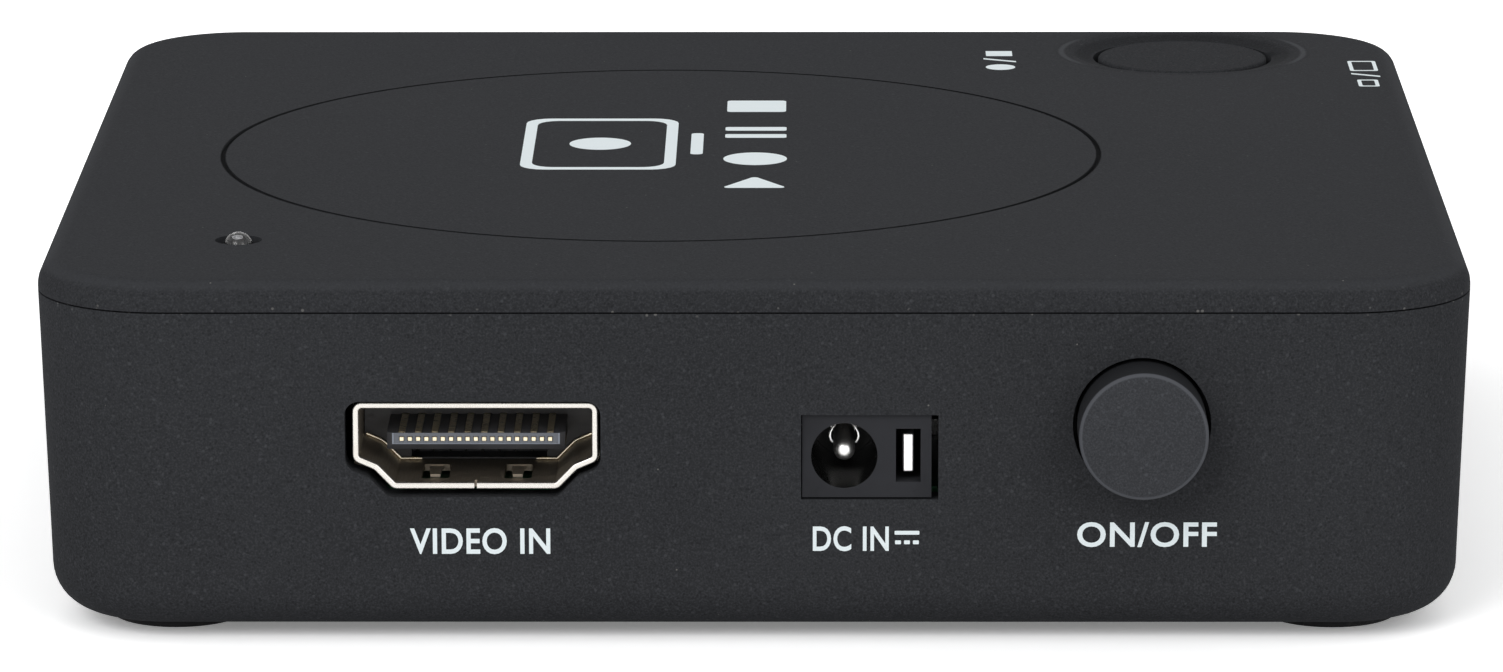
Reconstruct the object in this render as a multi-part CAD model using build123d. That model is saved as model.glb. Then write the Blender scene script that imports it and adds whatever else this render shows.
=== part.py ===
from build123d import *
import math
import os

# A small video capture box: a flat, square housing in two moulded covers that stands on four rubber
# feet. It takes a video signal in at the front, passes it on at the back, and records it to a memory
# stick. Sizes are in millimetres. +X is to the right and +Y runs from the front, where the power
# button is, to the back. Z is zero on the surface that the feet stand on, and the origin is in the
# middle of the whole footprint, the power button's cap included.

# Housing
case_width = 87.4
case_depth = 84.6
case_height = 21.8
corner_radius = 8.0
base_edge_radius = 2.9
draft_degrees = 2.0
wall = 2.0
floor_thickness = 2.0
roof_thickness = 1.6
roof_step = 0.3
lid_edge_radius = 1.5
parting_gap = 0.1
rabbet_wall = 1.0
rabbet_slack = 0.2
lip_height = 1.6
lip_clearance = 0.15
overrun = 1.0

# Round line on the lid
ring_diameter = 56.6
ring_x = -6.2
ring_y = -1.7
ring_groove_width = 0.3
ring_groove_depth = 0.25

# Vent slots in the floor
vent_width = 1.8
vent_length = 13.0
vent_pitch = 4.2
vent_count = 7
vent_row_spacing = 17.0

# Feet, one near each corner
foot_diameter = 8.6
foot_proud = 0.8
foot_recess = 0.6
foot_clearance = 0.15
foot_edge_radius = 0.35
foot_inset_x = 8.3
foot_inset_y = 8.9
foot_x = case_width / 2 - foot_inset_x
foot_y = case_depth / 2 - foot_inset_y

# Screws that hold the lid, hidden by the feet
cover_screw_offset_x = 1.75
cover_screw_offset_y = 1.6
cover_screw_radius = 1.0
cover_screw_head_radius = 1.7
cover_screw_head_height = 1.3
cover_screw_length = 12.0
cover_screw_bite = 5.5
screw_recess_depth = 1.0
screw_recess_radius = 0.5
screw_hole_clearance = 0.15
screw_pilot_clearance = 0.02
post_radius = 2.9
post_height = 9.5
boss_radius = 2.2
boss_gap = 0.05
rib_thickness = 1.2
rib_height = 5.0
screw_x = foot_x + cover_screw_offset_x
screw_y = foot_y + cover_screw_offset_y

# Circuit board, its standoffs and their screws
board_thickness = 1.6
board_clearance = 0.8
board_notch_clearance = 0.5
board_notch_radius = 1.0
standoff_height = 4.85
standoff_radius = 2.4
board_screw_from_side = 9.2
board_screw_depth_share = 0.449
board_screw_x = case_width / 2 - board_screw_from_side
board_screw_y = board_screw_depth_share * case_depth / 2
board_screw_radius = 0.9
board_screw_head_radius = 1.8
board_screw_head_height = 1.2
board_screw_length = 5.0
board_screw_pilot_depth = 5.6

# Video socket, used at the front (in) and at the back (out)
video_mouth_width = 14.9
video_mouth_height = 5.4
video_sheet = 0.4
video_depth = 11.0
video_bend_radius = 0.6
video_side_foot_share = 0.324
video_knee_out_share = 0.826
video_knee_up_share = 0.222
video_base_share = 0.671
video_lift = 0.46
video_seam = 0.16
video_recess = 0.35
video_cut_clearance = 0.28
video_in_cut_slip_x = -0.15
video_in_cut_slip_z = -0.15
video_cavity = 6.2
video_tongue_width = 10.8
video_tongue_thickness = 1.1
video_tongue_recess = 1.0
video_tongue_side_bevel = 0.42
video_tongue_under_bevel = 0.5
video_pocket_depth = 1.6
video_pocket_width = 8.3
video_pocket_floor = 0.15
video_block_clearance = 0.05
video_contact_pitch = 1.0
video_contact_width = 0.4
video_contact_sheet = 0.16
video_contact_proud = 0.04
video_contact_setback = 0.25
video_tip_width = 0.26
video_tip_height = 0.26
video_tip_rise = 0.2
video_tip_proud = 0.03
video_upper_contacts = 10
video_lower_contacts = 9
video_window_width = 1.7
video_window_start = 1.0
video_window_length = 3.9
video_window_x = 2.5
video_spring_width = 0.75
video_spring_rise = 0.55
video_leg_width = 1.1
video_leg_first = 2.8
video_leg_second = 8.4
contact_channel_clearance = 0.03
contact_foot_length = 0.8
leg_below_board = 0.7
leg_hole_clearance = 0.2
video_in_width_share = -0.38444
video_in_x = video_in_width_share * case_width / 2

# Memory-stick socket at the back
drive_width = 13.1
drive_height = 5.7
drive_sheet = 0.3
drive_corner_radius = 0.6
drive_depth = 14.0
drive_lift = 0.2
drive_recess = 0.2
drive_cut_clearance = 0.35
drive_cavity = 9.4
drive_tongue_width = 11.1
drive_tongue_thickness = 1.84
drive_tongue_gap = 0.65
drive_tongue_recess = 0.9
drive_contact_pitch = 2.33
drive_contact_width = 1.0
drive_contact_sheet = 0.25
drive_contacts = 4
drive_contact_proud = 0.1
drive_window_width = 2.2
drive_window_length = 5.0
drive_window_start = 2.5
drive_window_x = 3.4
drive_spring_rise = 0.7
drive_spring_width = 1.4
drive_leg_width = 2.0
drive_leg_back = 4.0

# Power jack at the front
jack_width = 7.76
jack_height = 5.04
jack_depth = 11.5
jack_bore_radius = 2.0
jack_bore_depth = 9.0
jack_bore_x = 2.49
jack_bore_z = 2.59
jack_pin_radius = 0.65
jack_pin_recess = 1.1
jack_pin_rear_length = 1.4
jack_pin_rear_radius = 0.85
jack_pin_tail_width = 1.0
jack_pin_fit = 0.02
jack_slot_width = 1.5
jack_slot_height = 3.3
jack_slot_depth = 7.0
jack_slot_x = 6.36
jack_slot_low = 0.95
jack_tab_width = 0.68
jack_tab_height = 2.4
jack_tab_recess = 0.7
jack_leaf_width = 1.5
jack_leaf_sheet = 0.3
jack_leaf_length = 6.5
jack_leaf_dip = 0.35
jack_leaf_slot_clearance = 0.15
jack_tail_gap = 0.3
jack_recess = 0.2
jack_cut_clearance = 0.12
jack_cut_side_clearance = 0.42
jack_left_share = 0.06888
jack_left = jack_left_share * case_width / 2
jack_x = jack_left + jack_width / 2
jack_peg_radius = 0.6
jack_peg_setback = 4.4

# Power button and its push switch
power_from_side = 20.24
power_x = case_width / 2 - power_from_side
power_switch_width = 8.5
power_switch_height = 8.5
power_switch_depth = 10.0
power_stop_gap = 0.3
power_switch_wall = 1.0
power_axis_height = 4.55
power_travel = 2.5
power_cap_radius = 3.91
power_cap_proud = 3.1
power_cap_edge_radius = 0.45
power_hole_clearance = 0.27
power_flange_radius = 4.7
power_flange_thickness = 0.8
power_flange_clearance = 0.1
power_plunger_width = 3.3
power_plunger_clearance = 0.1
power_collar_width = 4.3
power_collar_length = 3.2
power_collar_clearance = 0.1
power_collar_gap = 0.1
power_plunger_in_cap = 3.0
power_spring_radius = 1.35
power_spring_wire = 0.4
power_spring_turns = 4
power_spring_seat_gap = 0.05
power_pin_pitch = 2.5
power_pin_rows = 3
power_pin_row_spacing = 4.5
power_pin_width = 0.7
power_pin_sheet = 0.4

# Record button on the lid and its tactile switch
record_from_side = 14.7
record_from_back = 8.9
record_x = case_width / 2 - record_from_side
record_y = case_depth / 2 - record_from_back
record_cap_radius = 5.78
record_hole_clearance = 0.35
record_dish_radius = 8.3
record_dish_rim_radius = 3.0
record_dish_slope_degrees = 14.0
record_cap_drop = 0.32
record_cap_edge_radius = 0.25
record_collar_wall = 0.9
record_collar_height = 0.9
record_flange_radius = 6.5
record_flange_thickness = 0.7
record_flange_gap = 0.05
record_flange_relief = 0.4
record_cap_skin = 1.1
record_cap_wall = 1.0
record_stem_radius = 1.6
record_travel = 0.3
tact_width = 6.0
tact_height = 3.4
tact_plate = 0.3
tact_plate_lug = 1.4
tact_plunger_radius = 1.7
tact_plunger_clearance = 0.08
tact_plunger_height = 5.0
tact_well_floor = 1.0
tact_plunger_foot_clearance = 0.15
tact_pin_width = 0.7
tact_pin_sheet = 0.3
tact_pin_inset = 0.75
tact_pin_reach = 0.9

# Status light
led_from_side = 11.95
led_from_front = 12.7
led_x = led_from_side - case_width / 2
led_y = led_from_front - case_depth / 2
led_radius = 0.9
led_hole_clearance = 0.55
led_length = 3.1
led_proud = 0.5
led_flange_radius = 1.2
led_flange_height = 0.5
led_leg_pitch = 1.27
led_leg_width = 0.4
led_leg_below_board = 0.9
led_spacer_radius = 1.5
led_spacer_gap = 0.03
led_leg_clearance = 0.1

# Audio jack at the back
audio_bore_radius = 1.8
audio_bore_depth = 13.0
audio_body_width = 6.6
audio_body_height = 5.2
audio_body_depth = 12.0
audio_nose_radius = 2.7
audio_nose_length = 2.0
audio_nose_clearance = 0.2
audio_recess = 0.1
audio_contact_sheet = 0.25
audio_contact_width = 1.6
audio_contact_length = 5.0
audio_contact_gap = 0.35
audio_contact_first = 5.2

# The back row: from the corner post on the left to the record switch on the right, the room that the
# jack and the two sockets leave is shared out between them
row_left = post_radius - screw_x
row_right = record_x - tact_width / 2 - tact_plate
row_room = row_right - row_left - audio_body_width - drive_width - video_mouth_width
audio_room_share = 0.393
drive_room_share = 0.354
video_out_room_share = 0.198
audio_x = row_left + audio_room_share * row_room + audio_body_width / 2
drive_x = audio_x + drive_room_share * row_room + (audio_body_width + drive_width) / 2
video_out_x = drive_x + video_out_room_share * row_room + (drive_width + video_mouth_width) / 2

# Parts on the board
chip_lift = 0.1
processor_size = 17.0
processor_height = 1.4
processor_x_share = -0.1
processor_y_share = -0.05
processor_substrate = 0.5
processor_lid_inset = 1.5
pad_thickness = 0.5
pad_inset = 0.5
sink_size = 21.0
sink_base = 1.4
sink_height = 5.5
sink_fin = 1.0
sink_fins = 7
memory_width = 8.0
memory_depth = 11.0
memory_height = 1.1
memory_gap = 3.0
memory_spacing = 12.0
interface_size = 10.0
interface_height = 1.1
interface_lead_length = 0.9
interface_lead_width = 0.5
interface_lead_sheet = 0.2
interface_lead_pitch = 1.2
interface_leads = 7
receiver_y_share = -0.51
transmitter_y_share = 0.505
flash_width = 5.2
flash_depth = 5.3
flash_height = 1.8
flash_x_share = -0.37
flash_y_share = 0.41
can_radius = 3.15
can_height = 7.7
can_base_width = 6.6
can_base_height = 1.0
can_groove = 0.3
can_places_x_shares = (0.08, 0.30, -0.62)
can_places_y_shares = (-0.56, -0.56, 0.30)
inductor_size = 5.6
inductor_height = 3.2
inductor_corner = 1.0
inductor_places_x_shares = (0.62, 0.62)
inductor_places_y_shares = (-0.36, -0.16)
crystal_width = 4.6
crystal_length = 11.2
crystal_height = 3.4
crystal_x_share = -0.69
crystal_y_share = -0.15
passive_length = 1.6
passive_width = 0.8
passive_height = 0.8
passive_spacing = 2.2
passive_count = 6
passive_rows = 3
passive_gap = 2.9
passive_y_share = 0.1

# Heights and places that follow
underside_z = foot_proud
lid_top_z = underside_z + case_height
roof_under_z = lid_top_z - roof_thickness
parting_z = roof_under_z - roof_step
floor_top_z = underside_z + floor_thickness
board_under_z = floor_top_z + standoff_height
board_top_z = board_under_z + board_thickness
case_y = power_cap_proud / 2
front_y = case_y - case_depth / 2
back_y = case_y + case_depth / 2
draft_slope = math.tan(math.radians(draft_degrees))
foot_radius = foot_diameter / 2
post_top_z = floor_top_z + post_height
corners = [(-1, -1), (1, -1), (1, 1), (-1, 1)]


def wall_inset(z):
    """How far the drafted wall stands in from the parting line at height z."""
    return (parting_z - z) * draft_slope


def front_face_y(z):
    """Y of the front wall's outer face at height z."""
    return front_y + wall_inset(z)


def back_face_y(z):
    """Y of the back wall's outer face at height z."""
    return back_y - wall_inset(z)


def block(x0, x1, y0, y1, z0, z1):
    """A box between two corners."""
    middle = Pos((x0 + x1) / 2, (y0 + y1) / 2, (z0 + z1) / 2)
    return middle * Box(x1 - x0, y1 - y0, z1 - z0)


def column(x, y, z0, z1, radius):
    """An upright cylinder between two heights."""
    return Pos(x, y, (z0 + z1) / 2) * Cylinder(radius, z1 - z0)


def inward(outline, start, length):
    """Pushes an outline drawn in X and Z along +Y, from y = start."""
    return Pos(0, start, 0) * extrude(Plane.XZ * outline, amount=-length)


def rod(x, z, start, length, radius):
    """A cylinder along +Y."""
    return inward(Pos(x, z) * Circle(radius), start, length)


def rounded_plate(inset, z0, z1):
    """An upright slab of the housing's plan, drawn in by inset."""
    plan = RectangleRounded(case_width - 2 * inset, case_depth - 2 * inset, corner_radius - inset)
    return Pos(0, case_y, z0) * extrude(plan, amount=z1 - z0)


def drafted_tub(inset, top_z, bottom_z):
    """The housing's plan at the parting line, drawn in by inset and tapering downwards."""
    plan = RectangleRounded(case_width - 2 * inset, case_depth - 2 * inset, corner_radius - inset)
    start = Plane(origin=(0, case_y, parting_z), x_dir=(1, 0, 0), z_dir=(0, 0, -1))
    tub = extrude(start * plan, amount=parting_z - bottom_z, taper=draft_degrees)
    above = rounded_plate(inset, parting_z, top_z) if top_z > parting_z else None
    return tub + above if above else tub


def save(name, *solids):
    """Writes one node's solids."""
    shape = solids[0] if len(solids) == 1 else Compound(children=list(solids))
    export_step(shape, f"parts/{name}.step")


# Sockets are built facing -Y, with the mouth at y = 0, x = 0 in the middle and z = 0 on the board.


def facing_front(x, recess, axis_z):
    """The place of a socket in the front wall."""
    return Pos(x, front_face_y(board_top_z + axis_z) + recess, board_top_z)


def facing_back(x, recess, axis_z):
    """The place of a socket in the back wall."""
    return Pos(x, back_face_y(board_top_z + axis_z) - recess, board_top_z) * Rot(0, 0, 180)


video_axis_z = video_lift + video_mouth_height / 2
drive_axis_z = drive_lift + drive_height / 2
audio_axis_z = audio_body_height / 2
jack_axis_z = jack_bore_z
video_in_place = facing_front(video_in_x, video_recess, video_axis_z)
video_out_place = facing_back(video_out_x, video_recess, video_axis_z)
drive_place = facing_back(drive_x, drive_recess, drive_axis_z)
audio_place = facing_back(audio_x, audio_recess, audio_axis_z)
jack_place = facing_front(jack_x, jack_recess, jack_axis_z)


def video_outline():
    """The stamped video mouth: wide at the top, stepping in through a knee to a narrow base."""
    half = video_mouth_width / 2
    low = video_lift
    side = low + video_side_foot_share * video_mouth_height
    knee = low + video_knee_up_share * video_mouth_height
    right = [
        (video_base_share * half, low),
        (video_knee_out_share * half, knee),
        (half, side),
        (half, low + video_mouth_height),
    ]
    left = [(-x, z) for x, z in reversed(right)]
    sharp = make_face(Polyline(*right, *left, close=True))
    return fillet(sharp.vertices(), video_bend_radius)


def spring_tab(x, y_root, y_tip, z0, z1, rise, width):
    """A tongue of sheet bent out of its plane towards the tip."""
    side = Polyline((y_root, z0), (y_root, z1), (y_tip, z1 + rise), (y_tip, z0 + rise), close=True)
    start = Plane(origin=(x - width / 2, 0, 0), x_dir=(0, 1, 0), z_dir=(1, 0, 0))
    return extrude(start * make_face(side), amount=width)


def video_shell():
    """The stamped shell, with its seam, spring tabs and board legs."""
    outer = video_outline()
    shell = inward(outer - offset(outer, amount=-video_sheet), 0, video_depth)
    low = video_lift
    high = video_lift + video_mouth_height
    shell -= block(
        -video_seam / 2, video_seam / 2, -overrun, video_depth + overrun,
        low - overrun, low + video_sheet + video_seam,
    )
    end = video_window_start + video_window_length
    for side in (-1, 1):
        x = side * video_window_x
        half = video_window_width / 2
        for z0, z1, rise in (
            (low, low + video_sheet, video_spring_rise),
            (high - video_sheet, high, -video_spring_rise),
        ):
            shell -= block(x - half, x + half, video_window_start, end, z0 - video_seam, z1 + video_seam)
            shell += spring_tab(x, end, video_window_start + video_seam, z0, z1, rise, video_spring_width)
        outside = video_mouth_width / 2
        x0, x1 = sorted((side * outside, side * (outside - video_sheet)))
        for y in (video_leg_first, video_leg_second):
            shell += block(
                x0, x1, y - video_leg_width / 2, y + video_leg_width / 2,
                -board_thickness - leg_below_board, video_axis_z,
            )
    return shell


def video_leg_holes():
    """Clearance in the board for the shell's legs."""
    slack = leg_hole_clearance
    holes = []
    outside = video_mouth_width / 2
    for side in (-1, 1):
        x0, x1 = sorted((side * (outside + slack), side * (outside - video_sheet - slack)))
        for y in (video_leg_first, video_leg_second):
            half = video_leg_width / 2 + slack
            holes.append(block(x0, x1, y - half, y + half, -board_thickness - overrun, overrun))
    return holes


def row_offsets(count, pitch):
    """Evenly spaced places about zero."""
    return [(i - (count - 1) / 2) * pitch for i in range(count)]


video_tongue_top = video_axis_z + video_tongue_thickness / 2
video_tongue_low = video_tongue_top - video_tongue_thickness
video_upper_start = video_tongue_recess + video_contact_setback
video_lower_start = video_tongue_recess + video_tongue_under_bevel + video_contact_setback
video_tail_y = video_depth + contact_channel_clearance


def video_contact_rows():
    """X, where the blade starts, and its lower and upper height, for each contact."""
    high = video_tongue_top + video_contact_proud
    low = video_tongue_low - video_contact_proud
    upper = [
        (x, video_upper_start, high - video_contact_sheet, high)
        for x in row_offsets(video_upper_contacts, video_contact_pitch)
    ]
    lower = [
        (x, video_lower_start, low, low + video_contact_sheet)
        for x in row_offsets(video_lower_contacts, video_contact_pitch)
    ]
    return upper + lower


def video_tip(x, start, z0, z1, grow):
    """The front end of a blade, bent into the tongue's nose; grow gives the channel round it."""
    half = video_tip_width / 2 + grow
    back = start + video_contact_sheet + grow
    z2 = video_axis_z + video_tip_rise - video_tip_height / 2
    z3 = z2 + video_tip_height
    bend = block(x - half, x + half, start - grow, back, min(z0, z2) - grow, max(z1, z3) + grow)
    nose = video_tongue_recess - video_tip_proud
    return bend + block(x - half, x + half, nose - grow, back, z2 - grow, z3 + grow)


def video_contact(x, start, z0, z1):
    """One contact: a blade along the tongue, a drop behind the block and a foot on the board."""
    half = video_contact_width / 2
    tail = video_tail_y + video_contact_sheet
    blade = block(x - half, x + half, start, tail, z0, z1)
    drop = block(x - half, x + half, video_tail_y, tail, 0, z1)
    foot_part = block(x - half, x + half, video_tail_y, tail + contact_foot_length, 0, video_contact_sheet)
    return blade + drop + foot_part + video_tip(x, start, z0, z1, 0)


def video_insulator():
    """The moulded block at the back of the shell and the tongue that carries the contacts."""
    inner = offset(video_outline(), amount=-video_sheet - video_block_clearance)
    body = inward(inner, video_cavity, video_depth - video_cavity)
    root = video_cavity + video_pocket_depth
    half = video_pocket_width / 2
    floor = video_lift + video_sheet + video_pocket_floor
    body -= block(-half, half, video_cavity - overrun, root, floor, video_tongue_low)
    half = video_tongue_width / 2
    tongue = block(-half, half, video_tongue_recess, root, video_tongue_low, video_tongue_top)
    tongue = chamfer(tongue.edges().filter_by(Axis.Z).group_by(Axis.Y)[0], video_tongue_side_bevel)
    under = tongue.faces().sort_by(Axis.Z)[0].edges().group_by(Axis.Y)[0]
    body += chamfer(under, video_tongue_under_bevel)
    slack = contact_channel_clearance
    for x, start, z0, z1 in video_contact_rows():
        half = video_contact_width / 2 + slack
        body -= block(x - half, x + half, start - slack, video_depth + overrun, z0 - slack, z1 + slack)
        body -= video_tip(x, start, z0, z1, slack)
    return body


def drive_shell():
    """The stamped shell of the memory-stick socket."""
    middle = Pos(0, drive_axis_z)
    outer = middle * RectangleRounded(drive_width, drive_height, drive_corner_radius)
    inner = middle * RectangleRounded(
        drive_width - 2 * drive_sheet, drive_height - 2 * drive_sheet, drive_corner_radius - drive_sheet
    )
    shell = inward(outer - inner, 0, drive_depth)
    low = drive_lift
    high = drive_lift + drive_height
    end = drive_window_start + drive_window_length
    for side in (-1, 1):
        x = side * drive_window_x
        half = drive_window_width / 2
        for z0, z1, rise in (
            (low, low + drive_sheet, drive_spring_rise),
            (high - drive_sheet, high, -drive_spring_rise / 2),
        ):
            shell -= block(x - half, x + half, drive_window_start, end, z0 - drive_sheet, z1 + drive_sheet)
            shell += spring_tab(x, end, drive_window_start + drive_sheet, z0, z1, rise, drive_spring_width)
        outside = drive_width / 2
        x0, x1 = sorted((side * outside, side * (outside - drive_sheet)))
        y = drive_depth - drive_leg_back
        shell += block(
            x0, x1, y - drive_leg_width / 2, y + drive_leg_width / 2,
            -board_thickness - leg_below_board, drive_axis_z,
        )
    return shell


def drive_leg_holes():
    """Clearance in the board for the memory-stick socket's legs."""
    slack = leg_hole_clearance
    y = drive_depth - drive_leg_back
    half = drive_leg_width / 2 + slack
    holes = []
    for side in (-1, 1):
        x0, x1 = sorted((side * (drive_width / 2 + slack), side * (drive_width / 2 - drive_sheet - slack)))
        holes.append(block(x0, x1, y - half, y + half, -board_thickness - overrun, overrun))
    return holes


drive_tongue_top = drive_lift + drive_height - drive_sheet - drive_tongue_gap
drive_tongue_low = drive_tongue_top - drive_tongue_thickness


def drive_contact(x):
    """One blade under the tongue, dropping to the board behind the block."""
    half = drive_contact_width / 2
    z0 = drive_tongue_low - drive_contact_proud
    z1 = z0 + drive_contact_sheet
    start = drive_depth + contact_channel_clearance
    tail = start + drive_contact_sheet
    blade = block(x - half, x + half, drive_tongue_recess + drive_sheet, tail, z0, z1)
    drop = block(x - half, x + half, start, tail, -board_thickness - leg_below_board, z1)
    return blade + drop


def drive_insulator():
    """The moulded block and tongue of the memory-stick socket."""
    room = drive_sheet + video_block_clearance
    inner = Pos(0, drive_axis_z) * RectangleRounded(
        drive_width - 2 * room, drive_height - 2 * room, drive_corner_radius - drive_sheet
    )
    body = inward(inner, drive_cavity, drive_depth - drive_cavity)
    tongue = block(
        -drive_tongue_width / 2, drive_tongue_width / 2, drive_tongue_recess, drive_cavity + overrun,
        drive_tongue_low, drive_tongue_top,
    )
    body += chamfer(tongue.edges().filter_by(Axis.X).group_by(Axis.Y)[0], drive_sheet)
    slack = contact_channel_clearance
    z0 = drive_tongue_low - drive_contact_proud
    for x in row_offsets(drive_contacts, drive_contact_pitch):
        half = drive_contact_width / 2 + slack
        body -= block(
            x - half, x + half, drive_tongue_recess + drive_sheet - slack, drive_depth + overrun,
            z0 - slack, z0 + drive_contact_sheet + slack,
        )
    return body


jack_bore_local_x = jack_bore_x - jack_width / 2
jack_slot_local_x = jack_slot_x - jack_width / 2
jack_leaf_top = jack_bore_z + jack_bore_radius + jack_leaf_sheet
jack_leaf_start = jack_bore_depth - jack_leaf_length
jack_tail_x = jack_bore_local_x + jack_pin_rear_radius + jack_tail_gap + jack_leaf_width / 2


def jack_pin():
    """The centre pin: a domed nose, a thicker end in the back wall, and a tail down to the board."""
    nose = jack_pin_recess + jack_pin_radius
    end = jack_depth + jack_pin_rear_length
    shank = rod(jack_bore_local_x, jack_bore_z, nose, jack_bore_depth - nose, jack_pin_radius)
    shank += rod(jack_bore_local_x, jack_bore_z, jack_bore_depth, end - jack_bore_depth, jack_pin_rear_radius)
    dome = Pos(jack_bore_local_x, nose, jack_bore_z) * Sphere(jack_pin_radius)
    tail = block(
        jack_bore_local_x - jack_pin_tail_width / 2, jack_bore_local_x + jack_pin_tail_width / 2,
        end - jack_pin_radius, end, -board_thickness - leg_below_board, jack_bore_z,
    )
    return shank + dome + tail


def jack_leaf(grow):
    """The spring leaf over the bore; grow gives the slot that it lies in."""
    half = jack_leaf_width / 2 + grow
    low = jack_leaf_top - jack_leaf_sheet
    side = Polyline(
        (jack_leaf_start - grow, low - grow), (jack_leaf_start - grow, jack_leaf_top + grow),
        (jack_depth + grow, jack_leaf_top + grow), (jack_depth + grow, low - grow), close=True,
    )
    start = Plane(origin=(jack_bore_local_x - half, 0, 0), x_dir=(0, 1, 0), z_dir=(1, 0, 0))
    return extrude(start * make_face(side), amount=2 * half)


def jack_spring():
    """The sleeve contact: a leaf whose front end dips into the bore, with a tail down to the board."""
    leaf = jack_leaf(0)
    half = jack_leaf_width / 2
    low = jack_leaf_top - jack_leaf_sheet
    dip_start = jack_leaf_start + jack_leaf_length / 2
    dip = Polyline(
        (jack_leaf_start, low), (dip_start - jack_leaf_dip / 2, low - jack_leaf_dip),
        (dip_start + jack_leaf_dip / 2, low - jack_leaf_dip), (jack_bore_depth, low), close=True,
    )
    start = Plane(origin=(jack_bore_local_x - half, 0, 0), x_dir=(0, 1, 0), z_dir=(1, 0, 0))
    leaf += extrude(start * make_face(dip), amount=2 * half)
    end = jack_depth + jack_leaf_sheet
    arm = block(jack_bore_local_x - half, jack_tail_x + half, jack_depth, end, low, jack_leaf_top)
    tail = block(
        jack_tail_x - half, jack_tail_x + half, jack_depth, end,
        -board_thickness - leg_below_board, jack_leaf_top,
    )
    return leaf + arm + tail


def jack_tab():
    """The switch contact that shows in the slot beside the bore."""
    x0 = jack_slot_local_x - jack_tab_width / 2
    x1 = jack_slot_local_x + jack_tab_width / 2
    z0 = jack_slot_low + (jack_slot_height - jack_tab_height) / 2
    z1 = z0 + jack_tab_height
    blade = block(x0, x1, jack_tab_recess, jack_slot_depth, z0, z1)
    tail = block(
        x0, x1, jack_slot_depth - jack_tab_width, jack_slot_depth, -board_thickness - leg_below_board, z1
    )
    return blade + tail


def jack_body():
    """The moulded jack: a bore for the plug, a slot beside it and two locating pegs."""
    body = block(-jack_width / 2, jack_width / 2, 0, jack_depth, 0, jack_height)
    body -= rod(jack_bore_local_x, jack_bore_z, -overrun, overrun + jack_bore_depth, jack_bore_radius)
    body -= rod(jack_bore_local_x, jack_bore_z, 0, jack_depth + overrun, jack_pin_rear_radius + jack_pin_fit)
    low = jack_slot_low
    body -= block(
        jack_slot_local_x - jack_slot_width / 2, jack_slot_local_x + jack_slot_width / 2, -overrun,
        jack_slot_depth, low, low + jack_slot_height,
    )
    slack = jack_leaf_slot_clearance
    body -= block(
        jack_slot_local_x - jack_tab_width / 2 - slack, jack_slot_local_x + jack_tab_width / 2 + slack,
        jack_slot_depth - jack_tab_width - slack, jack_slot_depth, -overrun, low + jack_slot_height,
    )
    body -= jack_leaf(slack)
    for side in (-1, 1):
        x = side * jack_width / 4
        body += column(x, jack_peg_setback, -board_thickness, 0, jack_peg_radius)
    return body


def jack_board_holes():
    """Clearance in the board for the jack's pegs and tails."""
    slack = leg_hole_clearance
    deep = -board_thickness - overrun
    radius = jack_peg_radius + slack
    holes = [column(side * jack_width / 4, jack_peg_setback, deep, overrun, radius) for side in (-1, 1)]
    pin_end = jack_depth + jack_pin_rear_length
    tails = (
        (jack_bore_local_x, jack_pin_tail_width, pin_end - jack_pin_radius, pin_end),
        (jack_tail_x, jack_leaf_width, jack_depth, jack_depth + jack_leaf_sheet),
        (jack_slot_local_x, jack_tab_width, jack_slot_depth - jack_tab_width, jack_slot_depth),
    )
    for x, width, y0, y1 in tails:
        half = width / 2 + slack
        holes.append(block(x - half, x + half, y0 - slack, y1 + slack, deep, overrun))
    return holes


def audio_body():
    """The moulded audio jack, with its nose in the wall and a window each side for the contacts."""
    start = audio_nose_length
    half = audio_body_width / 2
    body = block(-half, half, start, start + audio_body_depth, 0, audio_body_height)
    body += rod(0, audio_axis_z, 0, start, audio_nose_radius)
    body -= rod(0, audio_axis_z, -overrun, overrun + audio_bore_depth, audio_bore_radius)
    room = audio_contact_width / 2 + audio_contact_gap
    for side in (-1, 1):
        x0, x1 = sorted((side * (audio_bore_radius + audio_contact_gap / 2), side * (half + overrun)))
        body -= block(
            x0, x1, audio_contact_first - audio_contact_gap,
            audio_contact_first + audio_contact_length + audio_contact_gap,
            audio_axis_z - room, audio_axis_z + room,
        )
    return body


def audio_contact(side):
    """A flat contact beside the bore, with a tail outside the body down to the board."""
    x0 = audio_bore_radius + audio_contact_gap
    x1 = x0 + audio_contact_sheet
    out = audio_body_width / 2 + audio_contact_gap
    z0 = audio_axis_z - audio_contact_width / 2
    z1 = audio_axis_z + audio_contact_width / 2
    y1 = audio_contact_first + audio_contact_length
    leaf = block(x0, x1, audio_contact_first, y1, z0, z1)
    arm = block(x0, out, y1 - audio_contact_sheet, y1, z0, z1)
    tail = block(out - audio_contact_sheet, out, y1 - audio_contact_width, y1, 0, z1)
    shape = leaf + arm + tail
    return shape if side > 0 else mirror(shape, about=Plane.YZ)


# Power button

power_z = board_top_z + power_axis_height
power_cap_front_y = front_y - power_cap_proud
power_hole_radius = power_cap_radius + power_hole_clearance
power_low_z = power_z - power_flange_radius
power_flange_y = front_face_y(power_low_z) + wall + power_flange_clearance
power_flange_back_y = power_flange_y + power_flange_thickness
power_body_y = power_flange_back_y + power_travel + power_stop_gap
power_body_back_y = power_body_y + power_switch_depth
power_collar_y = power_body_y + power_switch_wall + power_collar_gap
power_collar_back_y = power_collar_y + power_collar_length
power_spring_back_y = power_body_back_y - power_switch_wall
power_plunger_y = power_flange_back_y - power_plunger_in_cap
power_room_width = power_collar_width + 2 * power_collar_clearance
power_bore_width = power_plunger_width + 2 * power_plunger_clearance


def square_bar(width, y0, y1):
    """A square bar along Y on the power button's axis."""
    half = width / 2
    return block(power_x - half, power_x + half, y0, y1, power_z - half, power_z + half)


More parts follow.
